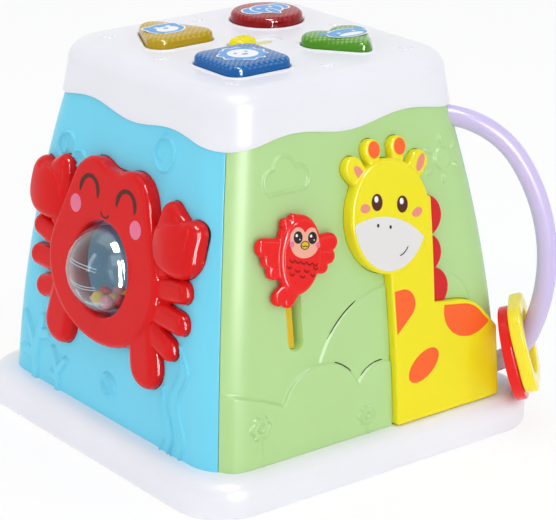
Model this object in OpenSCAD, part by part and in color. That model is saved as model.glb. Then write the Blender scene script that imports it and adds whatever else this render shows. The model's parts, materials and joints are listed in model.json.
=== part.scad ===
// Activity cube: a tapering four-sided toy on a foot tray. A crab with a spinning rattle ball on one side,
// a giraffe and a sliding bird on the front, a bow handle with two loose rings on a corner and four sound
// buttons on top.
// The frame: origin in the middle of the underside, +Z up, front face towards -Y, crab face towards -X.
// A figure on a face is drawn in elevation: across is measured from the middle of the face, height from
// the table.

/* [Foot tray] */
// Width of the tray's ledge round the panels
ledge = 13.7; // [12:0.1:16]
// Height of the foot tray
tray_h = 19.3; // [18.6:0.1:22]
// Corner radius of the tray in plan
tray_r = 30; // [24:1:36]
// Radius of the tray's soft upper edge
tray_edge = 10; // [6:0.5:12]
// Thickness of the tray's floor
floor_t = 2.4; // [2:0.1:3]

/* [Side panels] */
// Width of the panels at the foot
foot_w = 202.6; // [190:0.2:222]
// How far each side leans in from the foot to the cap's edge
taper = 22.4; // [20.5:0.1:24]
// How far the sides bow out beyond a straight taper
bow = 3.5; // [2:0.1:5]
// Corner radius of the panels in plan
corner_r = 22; // [18:1:26]
// Thickness of the panels
wall = 2.4; // [2:0.1:3]
// Gap at the seam between two panels
seam = 0.3; // [0.1:0.05:0.5]
// How far the panels' upper rim reaches into the cap
rim_in = 8.3; // [6:0.1:10]
// Rise of the embossed pictures above the panel
emboss = 1.2; // [0.5:0.1:1.5]

/* [Cap] */
// Height of the cap above the middle of its wavy lower edge
cap_h = 27.1; // [25:0.1:30]
// Height of the wave to either side of its middle
wave = 2.2; // [1:0.1:3]
// Height of the flat top
top_z = 208.8; // [195:0.1:225]
// Radius of the cap's upper edge
cap_edge = 11; // [8:0.5:13]
// How far the cap stands proud of the panels
cap_proud = 1.6; // [1.2:0.1:2]
// Inward lean of the cap's sides for each millimetre of height
cap_lean = 0.13; // [0.08:0.01:0.18]
// Thickness of the cap's top
cap_wall = 2.4; // [2:0.1:3]

/* [Buttons] */
// Distance of the button centres from the middle of the top
button_at = 33.5; // [31.5:0.5:35]
// Width of a button
button_w = 40; // [36:0.5:41]
// Rise of a button above the top
button_rise = 6.8; // [5.5:0.1:8]
// Travel of a button
press = 2.2; // [1:0.1:2.6]
// Rounding of a button's upper edge
button_edge = 2.6; // [1.5:0.1:3]
// Width of the rim round a button
rim_w = 2.4; // [1.5:0.1:3]
// Height of the rim round a button
rim_h = 0.8; // [0.4:0.1:1.2]

/* [Crab and ball] */
// Height of the ball's centre
ball_z = 101.5; // [99:0.5:104]
// Radius of the rattle ball
ball_r = 24.5; // [23:0.1:25.5]
// Distance of the ball's centre in front of the panel
ball_out = 0.3; // [0:0.1:1.5]
// Thickness of the ball's clear shell
ball_wall = 1.5; // [1.2:0.1:2]
// Diameter of the ball's pivot pins
pin_d = 4; // [3:0.1:5]
// Diameter of a rattle bead
bead_d = 7.6; // [5:0.1:8]
// Rise of the crab's face above the panel
crab_rise = 8.5; // [7.5:0.1:10]

/* [Giraffe and bird] */
// Rise of the giraffe's head above the panel
head_rise = 7; // [6.5:0.1:9]
// Rise of the giraffe's neck and body
neck_rise = 5.8; // [5:0.1:6.4]
// Rise of the mane
mane_rise = 3.2; // [2:0.1:4]
// Rise of the bird
bird_rise = 7.5; // [6.5:0.1:9]
// Travel of the bird along its slot
bird_travel = 36; // [28:1:38]
// Width of the slot
slot_w = 10; // [9:0.5:11]
// Depth of the slot's walls behind the face
slot_deep = 9; // [7:0.5:11]

/* [Handle and rings] */
// Diameter of the handle's tube
tube_d = 11; // [9:0.1:12]
// Outer diameter of the red ring
red_ring_d = 52; // [48:0.5:53]
// Width of the red ring's band
red_band = 6; // [4.5:0.1:6.5]
// Outer width of the yellow ring
yellow_ring_w = 49; // [46:0.5:50]
// Width of the yellow ring's band
yellow_band = 7; // [5.5:0.1:7.5]
// Diameter of the holes in both rings
ring_hole = 35; // [32:0.5:37]

/* [Fits] */
// Gap round a figure in its cut-out
figure_gap = 0.5; // [0.3:0.05:0.8]
// Squeeze of a figure's seat, and of the handle's ends, in a panel
squeeze = 0.03; // [0.01:0.01:0.06]
// Gap round a button in the cap
button_gap = 0.4; // [0.3:0.05:0.6]
// Gap of loose fits inside
fit = 0.2; // [0.1:0.05:0.3]
// Radial clearance of a pin in its bore
pin_gap = 0.06; // [0.03:0.01:0.1]

/* [Cells] */
// Diameter of a cell
cell_d = 14.2; // [13.5:0.1:14.5]
// Length of a cell
cell_l = 50; // [48:0.5:51]
// Count of the cells
cell_count = 3; // [2:1:3]

/* [Hidden] */

// Facets of plain round shapes, of small round shapes on the panels, and of a pad's spot by its size
$fn = 48;
small_fn = 12;
function spot_fn(r) = r > 30 ? 30 : r > 15 ? 18 : r > 8 ? 13 : r > 3 ? 9 : 8;
// Reach of a cutter past what it cuts
over = 30;
// Small overlap of solids that belong together
bite = 0.4;

// Sizes that follow from those above
tray_w = foot_w + 2 * ledge;
head_w = foot_w - 2 * taper;
cap_z = top_z - cap_h;
rim_z = cap_z + rim_in;

// The figures and pictures are drawn on a face of this width, and height above its foot, and follow the
// panels' size
drawn_face = [202.6, 162.4];
drawn_low = 19.3;
wide = foot_w / drawn_face[0];
tall = (cap_z - tray_h) / drawn_face[1];
function level(z) = tray_h + (z - drawn_low) * tall;

// The sides: a taper with a bow, half the width at a height, and its lean in degrees
function share(z) = (z - tray_h) / (cap_z - tray_h);
function half_w(z) = foot_w / 2 + (head_w - foot_w) / 2 * share(z) + 4 * bow * share(z) * (1 - share(z));
function slope(z) = ((head_w - foot_w) / 2 + 4 * bow * (1 - 2 * share(z))) / (cap_z - tray_h);
function lean(z) = atan(-slope(z));

// Places on the faces
module on_side(turn) { rotate([0, 0, turn]) children(); }
module on_skin(across, z) {
    at = level(z);
    translate([wide * across, -half_w(at), at]) rotate([90 - lean(at), 0, 0]) children();
}
front = 0;
left = -90;
right = 90;
back = 180;

// A closed skin over a list of rings with the same number of points, from the first ring to the last
module skin(rings) {
    n = len(rings[0]);
    m = len(rings);
    faces = [
        [for (j = [0:n - 1]) j],
        for (i = [0:m - 2], j = [0:n - 1]) each [
            [i * n + j, (i + 1) * n + j, (i + 1) * n + (j + 1) % n],
            [i * n + j, (i + 1) * n + (j + 1) % n, i * n + (j + 1) % n]
        ],
        [for (j = [0:n - 1]) (m - 1) * n + n - 1 - j]
    ];
    polyhedron([for (r = rings) each r], faces, convexity = 6);
}

// A rounded square of half width w and corner radius r: a quarter of its edge from the middle of a corner
// over a straight side, in a few steps, to the middle of the next corner
bend_steps = 3;
flat_steps = 8;
per_side = 2 * bend_steps + flat_steps;
function edge_point(w, r, i) =
    i < bend_steps ? let (a = 45 - 45 * i / bend_steps) [-(w - r) - r * sin(a), -(w - r) - r * cos(a)]
    : i <= bend_steps + flat_steps ? [(w - r) * (2 * (i - bend_steps) / flat_steps - 1), -w]
    : let (a = 45 * (i - bend_steps - flat_steps) / bend_steps) [(w - r) + r * sin(a), -(w - r) - r * cos(a)];
function turned(p, k) =
    k == 0 ? p : k == 1 ? [-p[1], p[0]] : k == 2 ? [-p[0], -p[1]] : [p[1], -p[0]];
function square_edge(w, r) = [for (k = [0:3], i = [0:per_side - 1]) turned(edge_point(w, r, i), k)];
function square_ring(w, r, z) = [for (p = square_edge(w, r)) [p[0], p[1], z]];

// The same rounded square with points at its corners alone
corner_steps = 6;
function corner_ring(w, r, z) = [
    for (k = [0:3], i = [0:corner_steps]) let (a = 90 * i / corner_steps)
        let (p = turned([w - r + r * sin(a), -(w - r) - r * cos(a)], k)) [p[0], p[1], z]
];

// The wave along the cap's edge: two swings to each side, low at the middle of a side and of a corner
function swing(w, r, i) =
    let (bend = r * PI / 4, flat = 2 * (w - r))
    let (s = i <= bend_steps ? bend * i / bend_steps
        : i <= bend_steps + flat_steps ? bend + flat * (i - bend_steps) / flat_steps
        : bend + flat + bend * (i - bend_steps - flat_steps) / bend_steps)
    -wave * cos(720 * s / (flat + 2 * bend));

// One side panel between two corners, as a shell of even thickness
function side_row(w, r, z, gap) = let (end = 45 - gap / 2 / r * 180 / PI) concat(
    [for (i = [0:corner_steps]) let (a = end * (1 - i / corner_steps))
        [-(w - r) - r * sin(a), -(w - r) - r * cos(a), z]],
    [for (i = [0:corner_steps]) let (a = end * i / corner_steps)
        [(w - r) + r * sin(a), -(w - r) - r * cos(a), z]]
);
panel_steps = 6;
module side_shell(outside, inside, low, high, gap) {
    zs = [for (i = [0:panel_steps]) low + (high - low) * i / panel_steps];
    n = 2 * corner_steps + 2;
    rows = [for (z = zs) concat(
        side_row(half_w(z) + outside, corner_r + outside, z, gap),
        side_row(half_w(z) + inside, corner_r + inside, z, gap)
    )];
    m = panel_steps;
    faces = [
        for (i = [0:m - 1], j = [0:n - 2]) each let (a = i * 2 * n + j, b = a + 2 * n) [
            [a, b + 1, a + 1], [a, b, b + 1],
            [n + a, n + a + 1, n + b + 1], [n + a, n + b + 1, n + b]
        ],
        for (j = [0:n - 2]) each let (a = j, b = m * 2 * n + j) [
            [a, a + 1, a + n + 1], [a, a + n + 1, a + n],
            [b, b + n + 1, b + 1], [b, b + n, b + n + 1]
        ],
        for (i = [0:m - 1]) each let (a = i * 2 * n, b = a + 2 * n, c = a + n - 1, d = b + n - 1) [
            [a, a + n, b + n], [a, b + n, b],
            [c, d + n, c + n], [c, d, d + n]
        ]
    ];
    polyhedron([for (r = rows) each r], faces, convexity = 8);
}

// Up to this size the soft edge of a pad is a plain bevel
bevel_limit = 3.3;

// A raised pad on a face: the hull of round or oval spots [across, height, half width, half height, turn],
// with a soft upper edge. The same spots, grown by a gap, cut the pad's hole in the panel.
module spot(s, shrink, low, high) {
    on_skin(s[0], s[1]) translate([0, 0, low]) scale([wide, tall, 1]) rotate([0, 0, s[4]])
        scale([s[2] - shrink, s[3] - shrink, 1]) cylinder(r = 1, h = high - low, $fn = spot_fn(s[3]));
}
module pad(spots, rise, soft, deep) {
    hull() for (s = spots) {
        spot(s, 0, -deep, rise - soft);
        if (soft > bevel_limit) spot(s, 0.3 * soft, -deep, rise - 0.3 * soft);
        spot(s, soft, -deep, rise);
    }
}
module pad_hole(spots, gap = figure_gap) {
    hull() for (s = spots) spot(s, -gap, -over / 2, over / 2);
}
// The seat of a pad, which fills its hole below the surface
module pad_seat(spots) {
    hull() for (s = spots) spot(s, -figure_gap - squeeze, -figure_deep, -seat_low);
}
function disc(across, z, r) = [across, z, r, r, 0];
function mirrored(spots) = [for (s = spots) [-s[0], s[1], s[2], s[3], -s[4]]];
function both(lists) = [for (l = lists) each [l, mirrored(l)]];

// Depth of a figure's walls behind the face
figure_deep = wall + 2.6;
// Depth of a figure's seat below the surface
seat_low = 1;

// Crab, about the middle of its face
crab_belly = [0, 101, 50, 40, 0];
crab_body = concat(both([[crab_belly, disc(-17, 138.3, 18.6)]]), [[crab_belly, disc(0, 136, 16.4)]]);
crab_claws = both([
    [disc(58, 130, 15.5), disc(50.5, 142.5, 6.5)],
    [disc(62, 130.5, 16), disc(70.5, 139.5, 7.5)]
]);
crab_legs = both([
    [disc(46, 104, 7), disc(65.5, 107.5, 6.2)],
    [disc(46, 92, 7), disc(66, 91, 6.2)],
    [disc(42, 81, 7), disc(58.5, 75.5, 6.4)]
]);
crab_feet = both([[disc(36, 80, 12), disc(40.5, 61, 12.5)]]);
crab_arms = both([[disc(40, 112, 7), disc(54, 122, 8)]]);
// The notch between the fingers of a claw, and the height of its floor
claw_notches = both([[disc(55.8, 138, 0.6), disc(58.8, 153, 0.6), disc(66, 151, 0.6)]]);
notch_floor = 2.5;
claw_rise = crab_rise + 3;
leg_rise = crab_rise - 2.5;
foot_rise = crab_rise - 1.5;
ball_hole_r = ball_r + 0.6;
ball_at = [0, ball_z];
cup_r = ball_r + 6;
cup_gap = 1;
cup_front = ball_out + pin_d / 2 + 0.4;

module ball_frame() {
    on_side(left) on_skin(ball_at[0], ball_at[1]) translate([0, 0, ball_out]) children();
}

// Giraffe, spots in elevation
neck_left = 13.8;
neck_foot_z = drawn_low + 0.3;
body_right = 85;
function edge_line(across0, z0, across1, z1, r) = [
    for (i = [0:2]) disc(across0 + (across1 - across0) * i / 2, z0 + (z1 - z0) * i / 2, r)
];
edge_r = 2;
neck = concat(
    edge_line(neck_left + edge_r, neck_foot_z + edge_r, neck_left + edge_r, 130, edge_r),
    edge_line(38, neck_foot_z + edge_r, 38.2, 84, edge_r),
    edge_line(38.2, 84, 43.2, 136, edge_r)
);
rump = disc(59, 57.2, 21.2);
trunk = concat(
    edge_line(neck_left + edge_r, neck_foot_z + edge_r, neck_left + edge_r, 80, edge_r),
    edge_line(body_right - edge_r, neck_foot_z + edge_r, body_right - edge_r, 57.5, edge_r),
    [rump, disc(41, 79.5, edge_r)]
);
giraffe_head = [[16.7, 132, 26.6, 29.8, 0]];
giraffe_horns = [
    [disc(11.5, 155, 3.8), disc(10.6, 167.2, 5.6)],
    [disc(25.6, 155, 3.8), disc(27.8, 166.2, 5.5)]
];
giraffe_ears = [
    [disc(3, 152, 5.6), disc(-2.5, 160, 6.2)],
    [disc(34, 149, 5.6), disc(40.8, 156.4, 5.8)]
];
ear_rise = head_rise - 2.2;
mane_tufts = [[disc(42.4, 127, 11)], [disc(41, 107.3, 10.4)], [disc(43.2, 88, 11.3)]];

// Bird, spots in elevation
bird_clear = 1.5;
bird_body = [[-43.3, 124.3, 13.8, 20.2, -12]];
bird_feathers = [
    [disc(-54, 129.5, 5.2), disc(-64, 132, 4.8)],
    [disc(-54, 124, 5), disc(-61.6, 125.2, 4.4)],
    [disc(-53, 119, 4.6), disc(-59, 119.6, 4)],
    [disc(-32, 126.5, 5), disc(-22.6, 126.6, 4.8)],
    [disc(-33, 121, 4.6), disc(-24.4, 119.6, 4.2)],
    [disc(-35, 116, 4.2), disc(-27.6, 113.4, 3.8)]
];
bird_tail = [
    [disc(-50, 109, 4.5), disc(-57.6, 104.4, 4.2)],
    [disc(-48, 108, 4.5), disc(-52, 102.6, 4)]
];
bird_crest = [
    [disc(-45, 140, 4.6), disc(-47, 142.6, 3.8)],
    [disc(-49, 136, 4.6), disc(-52.2, 139.2, 3.8)]
];
wing_rise = bird_rise - 2.2;
slot_x = -46.5;
stem_z = 120;
stem_w = 3.6;
stem_h = 7;
stem_gap = 0.4;
slot_low = stem_z - bird_travel - 4.8;
slot_high = stem_z + 4;
slot_wall = 1.8;
track_t = 1.8;
track_gap = 0.3;
catch_t = 2.2;
catch_w = 15;
slot_mid = (slot_low + slot_high) / 2;
stem_tail = slot_deep + track_t + 2 * track_gap + catch_t;

module at_slot() { on_skin(slot_x, slot_mid) children(); }
module slot_shape(r, low, high) {
    hull() {
        translate([0, low - slot_mid]) circle(r, $fn = 20);
        translate([0, high - slot_mid]) circle(r, $fn = 20);
    }
}

// Handle in the upright plane through the front right corner: reach from the middle of the cube, height
handle_turn = -45;
function corner_reach(z) = sqrt(2) * (half_w(z) - corner_r) + corner_r;
tray_reach = sqrt(2) * (tray_w / 2 - tray_r) + tray_r;
drawn_ledge_reach = 16.06;
handle_out = tray_reach - corner_reach(tray_h) - drawn_ledge_reach;
handle_top_z = level(172.7);
handle_top = [corner_reach(handle_top_z) - 0.96 + handle_out, handle_top_z];
handle_lead = -6;
handle_arcs = [[52 * tall, 52], [108 * tall, 54], [33 * tall, 44.4]];
handle_root = 9 + handle_out;
function ahead(h) = [cos(h), sin(h)];
function right_of(h) = [sin(h), -cos(h)];
function arc_heading(i) = i == 0 ? handle_lead : arc_heading(i - 1) - handle_arcs[i - 1][1];
function arc_start(i) = i == 0 ? handle_top
    : arc_centre(i - 1) - handle_arcs[i - 1][0] * right_of(arc_heading(i));
function arc_centre(i) = arc_start(i) + handle_arcs[i][0] * right_of(arc_heading(i));
module in_handle_plane() { rotate([0, 0, handle_turn]) rotate([90, 0, 0]) children(); }
tube_steps = 16;
bow_steps = 7;
function tube_ring(p, heading, r) = [
    for (i = [0:tube_steps - 1]) let (a = 360 * i / tube_steps, side = r * cos(a) * right_of(heading))
        [p[0] + side[0], p[1] + side[1], r * sin(a)]
];
function arc_rings(i, r) = [
    for (k = [0:bow_steps]) let (h = arc_heading(i) - handle_arcs[i][1] * k / bow_steps)
        tube_ring(arc_centre(i) - handle_arcs[i][0] * right_of(h), h, r)
];
module handle_stub(p, heading, length, r) {
    translate([p[0], p[1], 0]) rotate([0, 90, heading]) cylinder(r = r, h = length, $fn = tube_steps);
}
module handle_sockets(r) {
    in_handle_plane() {
        handle_stub(arc_start(0) + 8 * ahead(handle_lead), handle_lead + 180, over, r);
        handle_stub(arc_start(3) - 8 * ahead(arc_heading(3)), arc_heading(3), over, r);
    }
}

// Rings: centre in the handle's plane, tilt of the axis, and shift towards the front left
ring_tilt = 15;
ring_in = 6.9;
ring_up = 21.8;
ring_shift = 6.5;
red_at = [tray_reach - ring_in, tray_h + ring_up];
ring_step = (red_band + yellow_band) / 2 + 0.4;
ring_lift = 4.8;
yellow_at = red_at + ring_step * ahead(ring_tilt) - ring_lift * right_of(ring_tilt);
module ring_place(at) {
    in_handle_plane() translate([at[0], at[1], ring_shift])
        rotate([0, 90, 0]) rotate([-ring_tilt, 0, 0]) children();
}

// Buttons
button_under = 2;
flange_t = 1.8;
flange_w = 2;
flange_top = top_z - cap_wall - fit;
flange_low = flange_top - flange_t;
button_top = top_z + button_rise;
plunger_r = 4;
board_t = 1.6;
board_top = flange_low - 8.4;
board_w = 124;
post_at = board_w / 2 - 5.5;
post_d = 7;
key_r = 6;
screw_d = 3;
screw_head_d = 6;
screw_head_t = 2.2;
module at_button(x, y) { translate([x * button_at, y * button_at, 0]) children(); }

// Button outlines, grown or shrunk by a margin
round_r = 8;
square_c = button_w / 2 - round_r;
square_ends = [[-square_c, -square_c], [square_c, -square_c], [square_c, square_c], [-square_c, square_c]];
tri_r = 8.5;
tri_c = button_w / 2 - tri_r;
triangle_ends = [[-tri_c, -tri_c], [tri_c, -tri_c], [0, tri_c]];
lobe_r = button_w * 0.27;
lobe_at = [button_w / 2 - lobe_r, 7.2];
tip_r = 5;
tip_at = [0, tip_r - button_w / 2];
module square_outline(margin) { offset(r = round_r + margin, $fn = 48) polygon(square_ends); }
module triangle_outline(margin) { offset(r = tri_r + margin, $fn = 48) polygon(triangle_ends); }
module round_outline(margin) { circle(button_w / 2 + margin); }
module heart_outline(margin) {
    reach = lobe_r - tip_r;
    line = lobe_at - tip_at;
    side = atan2(line[1], line[0]) - asin(reach / norm(line)) - 90;
    inner = lobe_at + reach * [cos(side), sin(side)];
    for (s = [-1, 1]) translate([s * lobe_at[0], lobe_at[1]]) circle(lobe_r + margin);
    offset(r = tip_r + margin, $fn = 48)
        polygon([tip_at, inner, lobe_at, [0, lobe_at[1]], [-lobe_at[0], lobe_at[1]], [-inner[0], inner[1]]]);
}
// The outlines of all four at their places
module all_outlines(margin) {
    at_button(-1, -1) square_outline(margin);
    at_button(-1, 1) triangle_outline(margin);
    at_button(1, 1) round_outline(margin);
    at_button(1, -1) heart_outline(margin);
}
// A soft-edged button over corners of one radius, from below the flange to its top
module soft_corner(r, low) {
    rotate_extrude($fn = 24) difference() {
        square([r, button_top - low]);
        translate([r - button_edge, button_top - low - button_edge]) difference() {
            square(button_edge + 1);
            circle(button_edge, $fn = 12);
        }
    }
}
module soft_button(ends, r) {
    hull() for (c = ends) translate([c[0], c[1], flange_low]) soft_corner(r, flange_low);
}
module button_parts() {
    difference() {
        union() {
            children(0);
            translate([0, 0, flange_low]) linear_extrude(flange_t) children(1);
        }
        translate([0, 0, flange_low - 1])
            linear_extrude(button_top - button_under + 1 - flange_low) children(2);
    }
    translate([0, 0, flange_low]) cylinder(r = plunger_r, h = button_top - button_under + bite - flange_low);
}
module key_dome() {
    translate([0, 0, board_top]) difference() {
        cylinder(r1 = key_r, r2 = plunger_r, h = flange_low - board_top);
        translate([0, 0, -1]) cylinder(r1 = key_r - 1, r2 = plunger_r - 1, h = flange_low - board_top - 1);
    }
}

// Switch in the middle of the top
switch_at = [0, 0];
switch_travel = 16;
knob_l = 15;
knob_w = 11;
knob_rise = 5;
recess_t = 1.2;
recess_w = knob_w + 3;
recess_l = knob_l + switch_travel + 3;
switch_slot_w = 5;
knob_stem_w = 4;
knob_x = switch_at[0] - switch_travel / 2;
knob_low = top_z - recess_t + 0.3;
module stadium(l, w) {
    square([l - w, w], center = true);
    for (x = [-1, 1]) translate([x * (l - w) / 2, 0]) circle(w / 2, $fn = 32);
}

// Cells and base
cell_pitch = cell_d + 0.6;
pocket_l = cell_l + 4;
pocket_w = cell_count * cell_pitch + 0.6;
pocket_top = tray_h - 2;
pocket_y = 42;
function cell_y(i) = pocket_y + (i - (cell_count - 1) / 2) * cell_pitch;
box_wall = 2;
door_t = 2.2;
door_edge = 4;
door_tab = 7;
door_screw_at = [pocket_l / 2 + door_edge + door_tab / 2, pocket_y, 0];
cell_z = door_t + fit + cell_d / 2;
contact_t = 0.5;
contact_gap = 0.3;
speaker_y = -45;
speaker_r = 20;
grille_d = 2.4;
grille_step = 4.6;
boss_d = 8;
boss_h = 14;
boss_in = half_w(tray_h) - wall - boss_d / 2 + 0.8;
boss_at = 0.75 * (foot_w / 2 - corner_r);
front_boss_at = 0.9 * (foot_w / 2 - corner_r);
boss_spots = [[front, -front_boss_at], [front, -0.1 * front_boss_at],
    for (turn = [left, right, back], s = [-1, 1]) [turn, s * boss_at]];
cavity_w = boss_in - 5.5;
base_screw_low = 9;
thread_l = 8;
module at_boss(b) { on_side(b[0]) translate([b[1], -boss_in, 0]) children(); }
module screw(length) {
    cylinder(d = screw_head_d, h = screw_head_t);
    translate([0, 0, screw_head_t - bite]) cylinder(d = screw_d - 2 * pin_gap, h = length + bite);
}

module base_tray() {
    edge_steps = 5;
    w = tray_w / 2;
    color("white") difference() {
        skin(concat(
            [corner_ring(w - 1.5, tray_r - 1.5, 0), corner_ring(w - 0.4, tray_r - 0.4, 0.5),
                corner_ring(w, tray_r, 1.6)],
            [for (i = [0:edge_steps]) let (a = 90 * i / edge_steps)
                corner_ring(w - tray_edge * (1 - cos(a)), tray_r - tray_edge * (1 - cos(a)),
                    tray_h - tray_edge * (1 - sin(a)))]
        ));
        difference() {
            translate([-cavity_w, -cavity_w, floor_t]) cube([2 * cavity_w, 2 * cavity_w, tray_h]);
            translate([-pocket_l / 2 - box_wall, pocket_y - pocket_w / 2 - box_wall, 0])
                cube([pocket_l + 2 * box_wall, pocket_w + 2 * box_wall, pocket_top + box_wall]);
            translate([0, speaker_y, 0]) cylinder(r = speaker_r + 2, h = floor_t + 2);
        }
        translate([-pocket_l / 2, pocket_y - pocket_w / 2, -1]) cube([pocket_l, pocket_w, pocket_top + 1]);
        translate([-pocket_l / 2 - door_edge - fit, pocket_y - pocket_w / 2 - fit, -1])
            cube([pocket_l + 2 * door_edge + 2 * fit, pocket_w + 2 * fit, door_t + 1]);
        translate([pocket_l / 2 + door_edge - 1, pocket_y - door_tab - fit, -1])
            cube([door_tab + 1 + fit, 2 * door_tab + 2 * fit, door_t + 1]);
        translate(door_screw_at) cylinder(d = screw_d, h = door_t + 7);
        translate([0, speaker_y, floor_t]) cylinder(r = speaker_r + fit, h = tray_h);
        for (ring = [0:3], i = [0:max(0, 6 * ring - 1)]) translate([0, speaker_y, -1])
            rotate([0, 0, 360 * i / max(1, 6 * ring)]) translate([grille_step * ring, 0, 0])
                cylinder(d = grille_d, h = floor_t + 2);
        for (b = boss_spots) at_boss(b) {
            translate([0, 0, -1]) cylinder(d = screw_head_d + 1, h = base_screw_low + screw_head_t + 1);
            cylinder(d = screw_d + 0.4, h = tray_h + 1);
        }
    }
}
module battery_door() {
    color("white") difference() {
        union() {
            translate([-pocket_l / 2 - door_edge, pocket_y - pocket_w / 2, 0])
                cube([pocket_l + 2 * door_edge, pocket_w, door_t]);
            translate([pocket_l / 2 + door_edge - bite, pocket_y - door_tab, 0])
                cube([door_tab + bite, 2 * door_tab, door_t]);
        }
        translate(door_screw_at - [0, 0, 1]) cylinder(d = screw_d + fit, h = door_t + 2);
        translate(door_screw_at - [0, 0, 1]) cylinder(d = screw_head_d + 3 * fit, h = 1.8);
        for (i = [-2:2]) translate([-pocket_l / 2 - 1, pocket_y + 4 * i - 0.6, -1]) cube([10, 1.2, 1.5]);
    }
}
module door_screw() {
    color("silver") translate(door_screw_at + [0, 0, fit]) {
        cylinder(d = screw_head_d, h = 0.6);
        cylinder(d = screw_d - 2 * pin_gap, h = door_t + 5);
    }
}
module cells() {
    color("goldenrod") for (i = [0:cell_count - 1])
        translate([0, cell_y(i), cell_z]) rotate([0, i % 2 * 180, 0])
            rotate([0, 90, 0]) {
                translate([0, 0, -cell_l / 2]) cylinder(d = cell_d, h = cell_l - 1.2);
                translate([0, 0, cell_l / 2 - 1.4]) cylinder(d = 5.4, h = 1.4);
            }
}
module cell_contacts() {
    color("silver") for (side = [-1, 1], i = [0:cell_count - 1])
        translate([side * (pocket_l / 2 - contact_t / 2), cell_y(i), cell_z]) {
            cube([contact_t, 10, 10], center = true);
            translate([-side * (pocket_l / 2 - cell_l / 2 - contact_gap), 0, 0]) rotate([0, side * 90, 0])
                cylinder(r1 = 3, r2 = 4.5, h = pocket_l / 2 - cell_l / 2 - contact_gap);
        }
}
module base_screws() {
    color("silver") for (b = boss_spots) at_boss(b) translate([0, 0, base_screw_low])
        screw(tray_h - base_screw_low - screw_head_t + thread_l);
}
module speaker() {
    color("dimgray") translate([0, speaker_y, floor_t]) {
        difference() {
            cylinder(r = speaker_r, h = 3);
            translate([0, 0, -1]) cylinder(r1 = speaker_r - 2, r2 = 8, h = 3);
        }
        translate([0, 0, 2]) cylinder(r1 = speaker_r - 4, r2 = 11, h = 5);
        translate([0, 0, 7 - bite]) cylinder(r = 10, h = 5);
    }
}

// Panels
module panel_shell(turn) {
    on_side(turn) difference() {
        union() {
            side_shell(0, -wall, tray_h, rim_z, seam);
            for (b = boss_spots) if (b[0] == turn)
                translate([b[1], -boss_in, tray_h]) cylinder(d = boss_d, h = boss_h, $fn = small_fn);
        }
        for (b = boss_spots) if (b[0] == turn)
            translate([b[1], -boss_in, tray_h - 1]) cylinder(d = screw_d, h = boss_h - 2, $fn = small_fn);
    }
}
// What is drawn in elevation, as a block through the front face, and the same raised from the face's skin
module raised_drawing() {
    rotate([90, 0, 0]) linear_extrude(tray_w)
        translate([0, tray_h]) scale([wide, tall]) translate([0, -drawn_low]) children();
}
module embossed(rise) {
    intersection() {
        side_shell(rise, -wall / 2, tray_h + 0.3, rim_z - 8, 4 * seam);
        raised_drawing() children();
    }
}

module blue_panel() {
    color("skyblue") difference() {
        union() { panel_shell(left); on_side(left) embossed(emboss) sea_picture(); }
        on_side(left) for (p = concat(crab_body, crab_claws, crab_legs, crab_feet, crab_arms)) pad_hole(p);
    }
}
module ring_2d(r, w) { difference() { circle(r, $fn = 18); circle(r - w, $fn = 18); } }
bubbles = [[32.6, 170, 9.2], [-53.6, 152.8, 8.8], [3.6, 38, 6.5], [-41, 148, 7]];
module stroke(from, to, w) {
    hull() {
        translate(from) circle(w / 2, $fn = 8);
        translate(to) circle(w / 2, $fn = 8);
    }
}
coral_stems = [[-66, 48], [-50, 40]];
weed_stems = [[58, 50], [71, 64]];
weed_steps = 3;
module sea_picture() {
    for (b = bubbles) translate([b[0], b[1]]) ring_2d(b[2], 1.4);
    for (c = coral_stems) {
        stroke([c[0], drawn_low + 2], c, 4.4);
        for (s = [-1, 1]) stroke([c[0], c[1] - 20], [c[0] + 9 * s, c[1] - 10], 4.4);
    }
    for (w = weed_stems, i = [0:weed_steps - 1]) {
        rise = (w[1] - drawn_low) / weed_steps;
        side = i % 2 == 0 ? 3 : -3;
        stroke([w[0] - side, drawn_low + 3 + rise * i], [w[0] + side, drawn_low + 3 + rise * (i + 1)], 6);
    }
}

module green_panel() {
    color("palegreen") difference() {
        union() {
            panel_shell(front);
            embossed(0.6 * emboss) far_hills();
            embossed(1.3 * emboss) near_bushes();
            embossed(2.2 * emboss) flowers();
            embossed(emboss) sky_picture();
            at_slot() translate([0, 0, -slot_deep])
                linear_extrude(slot_deep - wall / 2) slot_shape(slot_w / 2 + slot_wall, slot_low, slot_high);
        }
        at_slot() translate([0, 0, -over])
            linear_extrude(2 * over) slot_shape(slot_w / 2, slot_low, slot_high);
        for (p = concat([neck, trunk, giraffe_head], giraffe_horns, giraffe_ears)) pad_hole(p);
        for (p = mane_tufts) pad_hole(p, -squeeze);
        raised_drawing() sound_slits();
        handle_sockets(tube_d / 2 - squeeze);
    }
}
big_hill = [15, 44.5, 51.5];
small_hill = [48, 72, 23.3];
bushes = [[-84, 28, 33.5], [-33, 38, 26.3], [6.5, 39, 17.6]];
module round_at(c) { translate([c[0], c[1]]) circle(c[2], $fn = 32); }
module far_hills() {
    round_at(big_hill);
    round_at(small_hill);
}
module near_bushes() {
    for (b = bushes) round_at(b);
    translate([-drawn_face[0] / 2, drawn_low]) square([drawn_face[0] / 2 + neck_left, 26]);
}
blooms = [[-73, 39.8, 6.6], [-3.1, 29.4, 5.6]];
petals = 5;
module flowers() {
    for (b = blooms) translate([b[0], b[1]]) {
        difference() {
            for (i = [0:petals - 1]) rotate(360 / petals * i)
                translate([0.62 * b[2], 0]) circle(0.44 * b[2], $fn = 10);
            circle(0.3 * b[2], $fn = 10);
        }
        translate([-0.6, -b[1] + drawn_low]) square([1.2, b[1] - drawn_low - 0.8 * b[2]]);
    }
}
sun_at = [59.6, 154.1];
sun_r = 5.6;
rays = 6;
cloud_lobes = [[-50.5, 161.6, 6.8], [-43.4, 166.6, 7.2], [-35, 161.4, 6.2]];
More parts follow.
